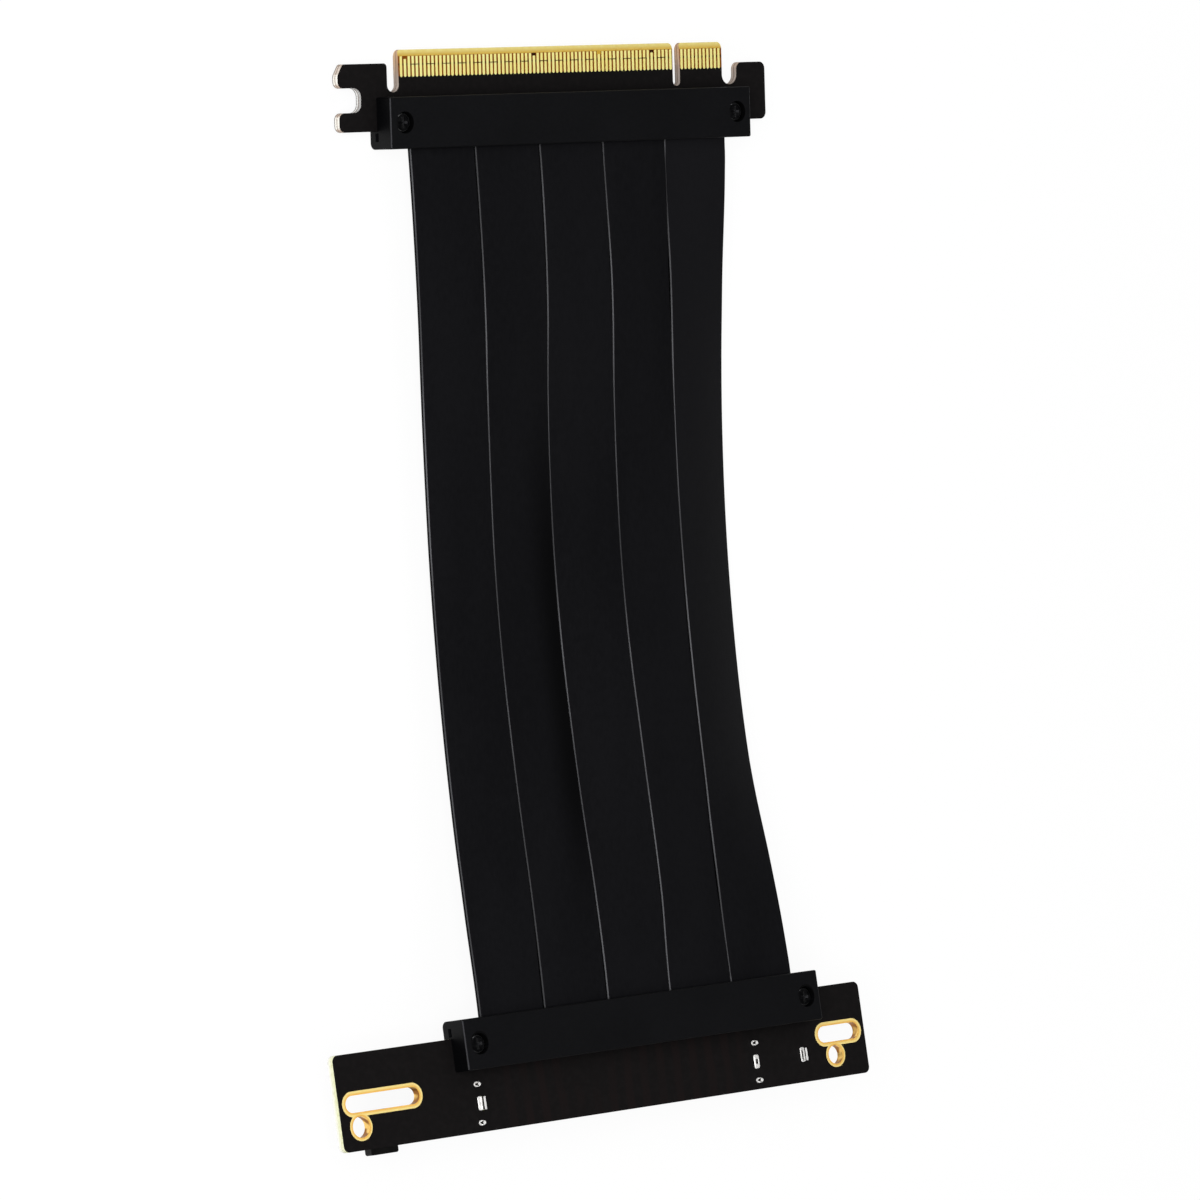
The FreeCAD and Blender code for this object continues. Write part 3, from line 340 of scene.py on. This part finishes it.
# Each row: its solid, the way it faces, the first pin of every split pair, and the short pins
FINGER_ROWS = (
    ("plug_fingers_front", 1,
     (14, 19, 23, 27, 33, 37, 41, 45, 50, 54, 58, 62, 66, 70, 74, 78), (17, 31, 48, 81)),
    ("plug_fingers_back", -1,
     (13, 16, 21, 25, 29, 35, 39, 43, 47, 52, 56, 60, 64, 68, 72, 76, 80), (1,)),
)
for row_name, up, pair_starts, short_pins in FINGER_ROWS:
    row = bmesh.new()
    base = plug_high.z if up > 0 else plug_low.z
    split = {pin for first in pair_starts for pin in (first, first + 1)}
    break_y = finger_high.y - BREAK_INSET
    for pin in range(1, ALL_PINS + 1):
        place = pin_place(pin)
        outer = finger_high.y - (SHORTER_BY if pin in short_pins else 0.0)
        if pin in split:
            add_plate(row, finger_outline(place, outer, break_y + BREAK_WIDTH / 2, False), base, up)
            outer = break_y - BREAK_WIDTH / 2
        add_plate(row, finger_outline(place, outer, finger_low.y, True), base, up)
    fingers = piece_from(row, row_name + "_plated", smooth=False)
    fingers.data.materials.append(finger_gold)
    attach(fingers, "cable")
    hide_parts(row_name)


# Solder pads and wire ends
# Bare tinned wire ends are bent down from each ribbon and soldered to a row of pads.
# The covers hide them, and they show only with the covers off.


def tin_colour(grain):
    """Bright tin with duller grains."""
    return grain.between(0.3, 0.7).mix((0.88, 0.87, 0.85), (1.0, 0.99, 0.97))


tin, inputs, paint = new_finish("tinned_solder", Metallic=0.3, Specular_IOR_Level=0.5)
grain = paint.noise(3000.0, 3.0)
feed(paint, inputs, Base_Color=tin_colour(grain),
     Roughness=0.24 + 0.2 * grain,
     Normal=paint.bump(grain, 0.25, 0.03 * MM))
dress(tin, "plug_solder_pads", "plug_wire_tails", "slot_solder_pads", "slot_wire_tails")


# Ribbons
# Five flat cables, each a row of shielded wire pairs in a smooth black sheath with rounded edges.
# They are clamped flat in both covers, and lean and sag a little differently in between.

RIBBON_WIDTH = 16.48 * MM
RIBBON_THICK = 1.0 * MM
RIBBON_EDGE = 0.48 * MM
RIBBON_PITCH = 16.55 * MM
SLANT_ACROSS = 5.3
SLANT_ALONG = 172.2
PLUG_COVER_X = 2.4 * MM
PLUG_COVER_Y = 89.40652 * MM
# Route points in millimetres: distance from the plug cover along the cable, and height at both clamped ends
ROUTE_PLACES = (-2.5, 23.0, 56.0, 92.0, 128.0, 156.42872, 174.66426)
ROUTE_ENDS = (5.8, 13.22928)
LEAN_PLACES = (0.0, 6.0, 28.0, 56.0, 92.0, 128.0, 152.0, 168.0, 175.0)
# For each ribbon from the left: heights of its five free points, sideways shifts of the middle three, and
# leans in degrees
RIBBON_SHAPES = (
    ((6.68, 5.62, 5.50, 7.97, 11.41), (-0.19, -0.35, -0.19), (0.8, 0.0, -0.9, 1.9, 2.8)),
    ((6.80, 4.82, 4.47, 7.76, 11.85), (-0.25, -0.40, -0.08), (-1.1, -3.3, -3.7, -1.5, -0.2)),
    ((6.90, 4.70, 4.52, 8.15, 12.17), (-0.36, -0.40, 0.00), (1.8, 5.7, 5.7, 7.1, 2.8)),
    ((6.22, 4.77, 4.97, 8.23, 11.51), (-0.11, -0.43, 0.20), (-4.3, -0.6, -0.7, -3.6, -5.8)),
    ((4.55, 2.68, 3.07, 5.91, 10.68), (-0.54, -0.74, -0.56), (-8.6, -12.6, -15.4, -14.6, -4.9)),
)
ALONG_STEPS = 160
EDGE_STEPS = 6
WIRE_PITCH = 1.05 * MM
# Near black painted as shade: on the ribbons' flanks, in a band on the second ribbon and inside the screw
# recesses
PAINTED_SHADE_BLACK = (0.0008, 0.0008, 0.0010)
# Stretches across and along the cable over which painted sheen and painted shade change a ribbon's colour
LAST_RIBBON = (29.6 * MM, 30.4 * MM)
UPPER_STRETCH = (-5 * MM, 50 * MM)
SECOND_RIBBON = (-11.5 * MM, -4.5 * MM)
SECOND_RIBBON_END = (-3.2 * MM, -3.1 * MM)
HALF_WAY_FROM = (0.0, 45 * MM)
HALF_WAY_TO = (-70 * MM, -35 * MM)

slant = math.atan2(SLANT_ACROSS, SLANT_ALONG)
ribbon_side = Vector((math.cos(slant), math.sin(slant), 0.0))
ribbon_ahead = Vector((math.sin(slant), -math.cos(slant), 0.0))


def smooth_between(places, values, at):
    """Value of a smooth curve through the given places and values."""
    if at <= places[0]:
        return values[0]
    for i in range(len(places) - 1):
        if at <= places[i + 1]:
            before = values[max(i - 1, 0)]
            after = values[min(i + 2, len(values) - 1)]
            t = (at - places[i]) / (places[i + 1] - places[i])
            step_in = (values[i + 1] - before) / 2
            step_out = (after - values[i]) / 2
            return ((2 * t ** 3 - 3 * t ** 2 + 1) * values[i] + (t ** 3 - 2 * t ** 2 + t) * step_in
                    + (-2 * t ** 3 + 3 * t ** 2) * values[i + 1] + (t ** 3 - t ** 2) * step_out)
    return values[-1]


def spline_points(name, points):
    """Points read along the smooth spline that has the route's points as its controls."""
    curve = bpy.data.curves.new(name, "CURVE")
    curve.dimensions = "3D"
    spline = curve.splines.new("NURBS")
    spline.points.add(len(points) - 1)
    for control, point in zip(spline.points, points):
        control.co = (*point, 1.0)
    spline.order_u = 3
    spline.use_endpoint_u = True
    spline.resolution_u = ALONG_STEPS // len(points)
    holder = bpy.data.objects.new(name, curve)
    bpy.context.scene.collection.objects.link(holder)
    bpy.context.view_layer.update()
    line = bpy.data.meshes.new_from_object(holder.evaluated_get(bpy.context.evaluated_depsgraph_get()))
    read = [vertex.co.copy() for vertex in line.vertices]
    bpy.data.objects.remove(holder)
    bpy.data.curves.remove(curve)
    bpy.data.meshes.remove(line)
    return read


def ribbon_section():
    """Flat section with rounded edges: distances across and up from the ribbon's middle line."""
    section = []
    for corner, (side, face) in enumerate(((1, -1), (1, 1), (-1, 1), (-1, -1))):
        across = side * (RIBBON_WIDTH / 2 - RIBBON_EDGE)
        up = face * (RIBBON_THICK / 2 - RIBBON_EDGE)
        for i in range(EDGE_STEPS + 1):
            angle = math.radians(90 * (corner - 1) + 90 * i / EDGE_STEPS)
            section.append((across + RIBBON_EDGE * math.cos(angle), up + RIBBON_EDGE * math.sin(angle)))
    return section


sheath, inputs, paint = new_finish("ribbon_sheath", Specular_IOR_Level=0.07)
grain = paint.noise(1800.0, 3.0, (1.0, 0.35, 1.0))
cloud = paint.noise(55.0, 2.0, (1.0, 0.3, 1.0))
across = paint.along(ribbon_side)
toward_plug = paint.along(PLUG_ALONG)
wires = paint.math("SINE", across * (2 * math.pi / WIRE_PITCH))
clouded = (grain * 0.5 + cloud * 0.5).between(0.3, 0.7)
black = clouded.mix((0.0037, 0.0037, 0.0045), (0.0060, 0.0060, 0.0071))
# Painted sheen: the last ribbon is painted paler over its upper stretch.
painted_sheen = across.between(*LAST_RIBBON) * toward_plug.between(*UPPER_STRETCH)
black = (0.4 * painted_sheen).mix(black, (0.0105, 0.0103, 0.0120))
# Painted shade: the second ribbon is painted deeper black half way down, towards its right edge.
painted_band_shade = across.between(*SECOND_RIBBON) * (1.0 - across.between(*SECOND_RIBBON_END))
painted_band_shade = painted_band_shade * toward_plug.between(*HALF_WAY_TO) * (1.0 - toward_plug.between(*HALF_WAY_FROM))
black = (0.9 * painted_band_shade).mix(black, PAINTED_SHADE_BLACK)
# Painted highlight: the upper rim of each ribbon's left side, towards the lamp, is painted grey in patches.
# Painted shade: both flanks are painted deep black.
leftward = paint.toward(-ribbon_side)
painted_flank_shade = paint.facing(ribbon_side).between(0.36, 0.55)
painted_highlight = leftward.between(0.28, 0.50) * (1.0 - leftward.between(0.74, 0.90))
highlight_share = paint.noise(24.0, 1.0).between(0.35, 0.65)
colour = painted_flank_shade.mix(black, PAINTED_SHADE_BLACK)
feed(paint, inputs, Base_Color=(painted_highlight * (0.4 + 0.6 * highlight_share)).mix(colour, (0.10, 0.10, 0.107)),
     Roughness=0.40 + 0.14 * cloud,
     Normal=paint.bump(grain * 0.4 + wires * 0.12, 0.14, 0.03 * MM))

section = ribbon_section()
for number, (free_heights, middle_shifts, free_leans) in enumerate(RIBBON_SHAPES):
    start = Vector((PLUG_COVER_X + (number - 2) * RIBBON_PITCH, PLUG_COVER_Y, 0.0))
    heights = (ROUTE_ENDS[0], *free_heights, ROUTE_ENDS[1])
    shifts = (0.0, 0.0, *middle_shifts, 0.0, 0.0)
    leans = (0.0, 0.0, *free_leans, 0.0, 0.0)
    controls = [start + ribbon_ahead * (along * MM) + ribbon_side * (shift * MM)
                + Vector((0.0, 0.0, height * MM))
                for along, shift, height in zip(ROUTE_PLACES, shifts, heights)]
    line = spline_points(f"ribbon_{number + 1}_route", controls)
    strip = bmesh.new()
    rings = []
    for i, point in enumerate(line):
        tangent = (line[min(i + 1, len(line) - 1)] - line[max(i - 1, 0)]).normalized()
        along = (point - start).dot(ribbon_ahead) / MM
        turn = Matrix.Rotation(-math.radians(smooth_between(LEAN_PLACES, leans, along)), 3, -tangent)
        side = turn @ ribbon_side
        up = side.cross(-tangent).normalized()
        rings.append([strip.verts.new(point + side * x + up * z) for x, z in section])
    for first, second in zip(rings, rings[1:]):
        for i in range(len(section)):
            j = (i + 1) % len(section)
            strip.faces.new((first[i], first[j], second[j], second[i]))
    strip.faces.new(rings[0][::-1])
    strip.faces.new(rings[-1])
    ribbon = piece_from(strip, f"ribbon_{number + 1}_sheath")
    ribbon.data.materials.append(sheath)
    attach(ribbon, "cable")
    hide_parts(f"ribbon_{number + 1}")
    length = sum((after - before).length for before, after in zip(line, line[1:]))


# Covers
# Black moulded halves that meet at the board and clamp the ribbon ends. Each front half is a lid
# with two screw recesses, each back half a tray, and all have a fine sparked grain.

RECESS_RADIUS = 2.18 * MM
SCREW_HALF_SPACING = 43.35 * MM
for end, along in (("plug", PLUG_ALONG), ("slot", SLOT_ALONG)):
    finish, inputs, paint = new_finish(end + "_moulded_cover", Specular_IOR_Level=0.11)
    spark = paint.noise(2400.0, 3.0)
    flow = paint.noise(60.0, 2.0)
    mottled = (spark * 0.6 + flow * 0.4).between(0.3, 0.72)
    black = mottled.mix((0.0030, 0.0031, 0.0037), (0.0047, 0.0048, 0.0057))
    # Painted shade: the end walls and the long walls are painted deeper black than the sparked faces.
    side = paint.facing(ACROSS)
    long_wall = paint.facing(along).between(0.2, 0.4)
    colour = paint.math("MAXIMUM", side.between(0.90, 0.97), long_wall).mix(black, (0.0010, 0.0010, 0.0014))
    # Painted highlight: the front edges of the end walls are painted greyer.
    highlight_share = side.between(0.25, 0.45) * (1.0 - side.between(0.86, 0.97)) * (1.0 - long_wall)
    colour = highlight_share.mix(colour, (0.030, 0.030, 0.034))
    # The two screw recesses are about half as deep as they are wide. Painted shade: they are painted near
    # black inside.
    screw_low, screw_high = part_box(end + "_cover_screws")
    screw_middle = (screw_low + screw_high) / 2
    across = paint.math("ABSOLUTE", paint.along(ACROSS) - screw_middle.x) - SCREW_HALF_SPACING
    length = paint.along(along) - screw_middle.dot(Vector(along))
    from_screw = paint.math("SQRT", across * across + length * length)
    colour = (from_screw < RECESS_RADIUS).mix(colour, PAINTED_SHADE_BLACK)
    feed(paint, inputs, Base_Color=colour,
         Roughness=0.42 + 0.14 * spark,
         Normal=paint.bump(spark, 0.2, 0.03 * MM))
    dress(finish, end + "_front_cover", end + "_back_cover")


# Cover screws
# Small pan-head steel screws with a cross recess, blackened. Two hold each pair of covers together,
# with their heads sunk in the front cover's recesses.

for end, normal in (("plug", PLUG_NORMAL), ("slot", SLOT_NORMAL)):
    finish, inputs, paint = new_finish(end + "_blackened_screw", Metallic=0.85, Specular_IOR_Level=0.5,
                                       Coat_IOR=2.2, Coat_Roughness=0.10)
    turned = paint.noise(1500.0, 3.0)
    # Painted glint: the rim and the cross recess get a brighter metal and a coat than the flats, so that
    # they glint.
    flat = paint.facing(normal).between(0.92, 0.98)
    black = turned.between(0.35, 0.75).mix((0.004, 0.004, 0.005), (0.020, 0.020, 0.022))
    feed(paint, inputs, Base_Color=flat.mix((0.12, 0.12, 0.125), black),
         Roughness=0.24 + 0.2 * turned,
         Coat_Weight=1.0 - flat,
         Normal=paint.bump(turned, 0.2, 0.02 * MM))
    dress(finish, end + "_cover_screws")


# Plated mounting holes
# Oblong and round holes at both ends of the slot board, lined and ringed with copper under thin
# gold, warmer than the hard gold of the fingers.

# The board's own axes are laid out from the middle of its left round hole.
ROUND_HOLE = Vector((-64.41, -14.5, -0.8)) * MM
slot_axes = Matrix((ACROSS, SLOT_ALONG, SLOT_NORMAL)).transposed()
slot_origin = hole_middle - slot_axes @ ROUND_HOLE
# For each end, how far its lining has darkened, and each hole's place across and along the board, its
# length and its width in millimetres
HOLES = (
    ("left", 0.44, ((-58.34, -9.89, 18.42, 3.4), (-64.41, -14.5, 4.2, 4.2))),
    ("right", 0.53, ((62.02, -9.97, 11.16, 3.4), (60.57, -14.4, 3.9, 3.9))),
)
for board_end, darkened, holes in HOLES:
    finish, inputs, paint = new_finish(board_end + "_hole_gold", Specular_IOR_Level=0.4)
    grain = paint.noise(1100.0, 3.0)
    from_rims = []
    for across, along, length, width in holes:
        off_middle = paint.math("ABSOLUTE", paint.along(ACROSS) - across * MM)
        off_end = paint.math("MAXIMUM", off_middle - (length - width) / 2 * MM, 0.0)
        off_line = paint.along(SLOT_ALONG) - (slot_origin.dot(Vector(SLOT_ALONG)) + along * MM)
        from_rims.append(paint.math("SQRT", off_end * off_end + off_line * off_line) - width / 2 * MM)
    # The rings are drilled thin at the hole, where the copper shows through the gold.
    out = paint.math("MINIMUM", *from_rims).between(0.08 * MM, 0.6 * MM)
    ring = out.mix((0.94, 0.50, 0.080), (1.0, 0.80, 0.30))
    ring = (0.4 * grain.between(0.35, 0.7)).mix(ring, (1.0, 0.69, 0.20))
    clean = paint.noise(420.0, 1.0).between(darkened, darkened + 0.16)
    wall = clean.mix((0.33, 0.13, 0.018), (1.0, 0.66, 0.19))
    on_ring = paint.facing(SLOT_NORMAL) > 0.7
    feed(paint, inputs, Base_Color=on_ring.mix(wall, ring),
         Metallic=0.75 - 0.63 * on_ring,
         Roughness=0.28 + 0.2 * grain,
         Normal=paint.bump(paint.noise(4000.0), 0.15, 0.015 * MM))
    dress(finish, "slot_hole_plating_" + board_end)


# Card slot and latch
# The slot is moulded in glass-filled black plastic, with a pocket for every contact. The latch is
# a softer moulding that snaps into the slot's ears and turns on its own trunnions.

finish, inputs, paint = new_finish("slot_plastic", Specular_IOR_Level=0.16)
fibre = paint.noise(1500.0, 3.0, (0.25, 1.0, 1.0))
black = fibre.between(0.3, 0.7).mix((0.0046, 0.0045, 0.0045), (0.0082, 0.0080, 0.0078))
feed(paint, inputs, Base_Color=black,
     Roughness=0.44 + 0.18 * fibre,
     Normal=paint.bump(fibre, 0.22, 0.03 * MM))
dress(finish, "slot_housing", "slot_latch")


# Slot contacts
# Stamped bronze springs in two rows, gold flashed where the card touches and tinned at the foot.
# They are pressed into the slot's pockets and soldered to the board.

FOOT_BELOW_BOARD = 1.4 * MM
finish, inputs, paint = new_finish("spring_gold", Metallic=0.6, Specular_IOR_Level=0.4)
grain = paint.noise(2500.0, 2.0)
foot_level = middle_level - FOOT_BELOW_BOARD
tinned = paint.along(SLOT_NORMAL).between(foot_level - 0.6 * MM, foot_level)
sprung = grain.between(0.3, 0.7).mix((0.82, 0.58, 0.22), (0.90, 0.68, 0.30))
feed(paint, inputs, Base_Color=tinned.mix(sprung, (0.62, 0.61, 0.58)),
     Roughness=0.28 + 0.15 * grain)
dress(finish, "slot_contacts_inner", "slot_contacts_outer")


# Board legs and their solder
# Tinned steel legs hold the slot in the board. Each comes through a plated hole and is wetted all
# round by a dome of solder that thins out towards the pad's rim.

SLOT_ROW = -13.4 * MM
LEG_STEP = 3.85 * MM
ROUND_LEGS_X = (-34.64 * MM, 38.7 * MM)
KEY_BLADE_X = 38.9 * MM
CORNER_STEPS = 6
# Solder from its foot up to the leg: share of the way out from the leg, and share of its height
FILLET = ((1.0, 0.0), (0.97, 0.28), (0.88, 0.55), (0.70, 0.78),
          (0.45, 0.93), (0.2, 1.0), (0.0, 0.95), (0.0, 0.0))
# Rings of solder in millimetres: half length across, half length along and corner radius at the leg and
# at the foot, and the height. A blade's ring has its place across first. Round legs are wetted higher on
# one side, the side to which the board was drawn off, and this share of their height on the other.
LOW_SIDE = 0.15
ROUND_LEG = ((0.02, 0.02, 0.33), (0.05, 0.03, 0.52), 1.0)
BLADE_RINGS = (
    (-34.18, (0.02, 0.30, 0.06), (0.22, 1.02, 0.38), 0.18),
    (38.90, (0.18, 0.36, 0.16), (0.28, 1.03, 0.42), 0.24),
    (51.62, (0.14, 0.85, 0.14), (0.24, 1.14, 0.36), 0.08),
)


def add_fillet(mesh, across, along, at_leg, at_foot, height, lowest):
    """Ring of solder round one leg, with the share of its height that it has on its low side."""
    rings = []
    for out, rise in FILLET:
        half_across, half_along, corner = (leg + (foot - leg) * out for leg, foot in zip(at_leg, at_foot))
        ring = []
        for quarter, (side, end) in enumerate(((1, -1), (1, 1), (-1, 1), (-1, -1))):
            for i in range(CORNER_STEPS + 1):
                turn = math.radians(90 * (quarter - 1 + i / CORNER_STEPS))
                climb = height * (lowest + (1.0 - lowest) * (0.5 + 0.5 * math.cos(turn)) ** 0.4)
                place = Vector((side * half_across + corner * math.cos(turn),
                                end * half_along + corner * math.sin(turn), climb * rise)) * MM
                ring.append(mesh.verts.new(slot_origin + slot_axes @ (place + Vector((across, along, 0.0)))))
        rings.append(ring)
    for outer, inner in zip(rings, rings[1:] + rings[:1]):
        for i in range(len(outer)):
            j = (i + 1) % len(outer)
            mesh.faces.new((outer[i], outer[j], inner[j], inner[i]))


solder = bmesh.new()
for across in ROUND_LEGS_X:
    for along in (SLOT_ROW - LEG_STEP, SLOT_ROW + LEG_STEP):
        add_fillet(solder, across, along, *ROUND_LEG, LOW_SIDE)
for across, at_leg, at_foot, height in BLADE_RINGS:
    add_fillet(solder, across * MM, SLOT_ROW, at_leg, at_foot, height, 1.0)
fillets = piece_from(solder, "slot_leg_solder")
fillets.data.materials.append(tin)
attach(fillets, "cable")
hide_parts("slot_leg_joints")

finish, inputs, paint = new_finish("tinned_leg", Specular_IOR_Level=0.5)
grain = paint.noise(2200.0, 3.0)
# Sheared tops are bright. The blades' sides are tinned, dull at the foot and under the sheared edge, the
# round legs' sides are dull, and flux fills the pit over the key blade.
top = paint.facing(SLOT_NORMAL).between(0.5, 0.8)
x = paint.along(ACROSS)
off_key = paint.math("ABSOLUTE", x - KEY_BLADE_X).between(0.4 * MM, 0.5 * MM)
row_level = slot_origin.dot(Vector(SLOT_ALONG)) + SLOT_ROW
off_row = paint.math("ABSOLUTE", paint.along(SLOT_ALONG) - row_level).between(2.0 * MM, 2.2 * MM)
rise = paint.along(SLOT_NORMAL) - slot_origin.dot(Vector(SLOT_NORMAL))
left = x < 0.0
wetted = left * (1.0 - rise.between(0.46 * MM, 0.58 * MM)) + (1.0 - left) * (
    rise.between(0.26 * MM, 0.34 * MM) * (1.0 - rise.between(0.74 * MM, 0.86 * MM)))
wetted = wetted * (1.0 - off_row)
bright = paint.math("MAXIMUM", top * paint.math("MAXIMUM", off_key, off_row), wetted)
feed(paint, inputs, Base_Color=bright.mix((0.024, 0.020, 0.017), tin_colour(grain)),
     Roughness=0.28 + 0.2 * grain,
     Metallic=0.5 - 0.3 * bright,
     Normal=paint.bump(grain, 0.2, 0.02 * MM))
dress(finish, "slot_board_legs")


# Studio
# A white table top under three soft lamps, seen from the upper left through a long lens.
# None of it is part of the cable.

TABLE_HALF_SIDE = 3.0
TABLE_WHITE = (0.82, 0.82, 0.82, 1.0)
TABLE_GLOW = 1.03
GLOW_SHARE = 0.90
ROOM_LIGHT = 0.18
floor_mesh = bmesh.new()
bmesh.ops.create_grid(floor_mesh, x_segments=1, y_segments=1, size=TABLE_HALF_SIDE)
floor = piece_from(floor_mesh, "table", smooth=False)
finish, inputs, paint = new_finish("white_table", Roughness=0.9, Specular_IOR_Level=0.1)
inputs["Base Color"].default_value = TABLE_WHITE
rays = paint.node("LightPath").socket.node.outputs
lit = Paint(paint.tree, rays["Is Camera Ray"])
for ray in ("Is Glossy Ray", "Is Transmission Ray"):
    lit = paint.math("MAXIMUM", lit, Paint(paint.tree, rays[ray]))
glow = paint.node("Emission", None, {"Color": (1.0, 1.0, 1.0), "Strength": TABLE_GLOW})
surface = Paint(paint.tree, paint.tree.nodes["Principled BSDF"].outputs[0])
blend = paint.node("MixShader", None, {0: lit * GLOW_SHARE, 1: surface, 2: glow})
paint.tree.links.new(blend.socket, paint.tree.nodes["Material Output"].inputs["Surface"])
floor.data.materials.append(finish)

world = bpy.data.worlds.new("studio")
bpy.context.scene.world = world
world.use_nodes = True
background = world.node_tree.nodes["Background"].inputs
background["Color"].default_value = (1.0, 1.0, 1.0, 1.0)
background["Strength"].default_value = ROOM_LIGHT

# The lamps' side in metres, and each lamp's place in metres and power in watts
LAMP_SIDE = 0.8
LAMPS = (
    ("lamp_left", (-0.85, 0.10, 0.85), 14.0),
    ("lamp_front", (0.20, -0.95, 0.70), 3.0),
    ("lamp_back", (0.20, 0.95, 0.70), 3.0),
)
for name, place, power in LAMPS:
    lamp = bpy.data.lights.new(name, "AREA")
    lamp.size = LAMP_SIDE
    lamp.energy = power
    stand = bpy.data.objects.new(name, lamp)
    stand.location = place
    stand.rotation_euler = (-Vector(place)).to_track_quat("-Z", "Y").to_euler()
    stand.visible_camera = False
    bpy.context.scene.collection.objects.link(stand)

# Camera fitted to the photograph: lens and sensor in millimetres, place in metres and turn in degrees
LENS = 206.45
SENSOR = 36.0
CAMERA_PLACE = (-0.883948, 0.100927, 1.068264)
CAMERA_TURN = (-2.8629, -40.0855, -2.2072)
NEAREST, FARTHEST = 0.1, 20.0
camera = bpy.data.cameras.new("photo_view")
camera.sensor_width = SENSOR
camera.lens = LENS
camera.clip_start = NEAREST
camera.clip_end = FARTHEST
tripod = bpy.data.objects.new("photo_view", camera)
tripod.location = CAMERA_PLACE
tripod.rotation_euler = [math.radians(angle) for angle in CAMERA_TURN]
bpy.context.scene.collection.objects.link(tripod)
bpy.context.scene.camera = tripod
bpy.context.scene.view_settings.view_transform = "Standard"
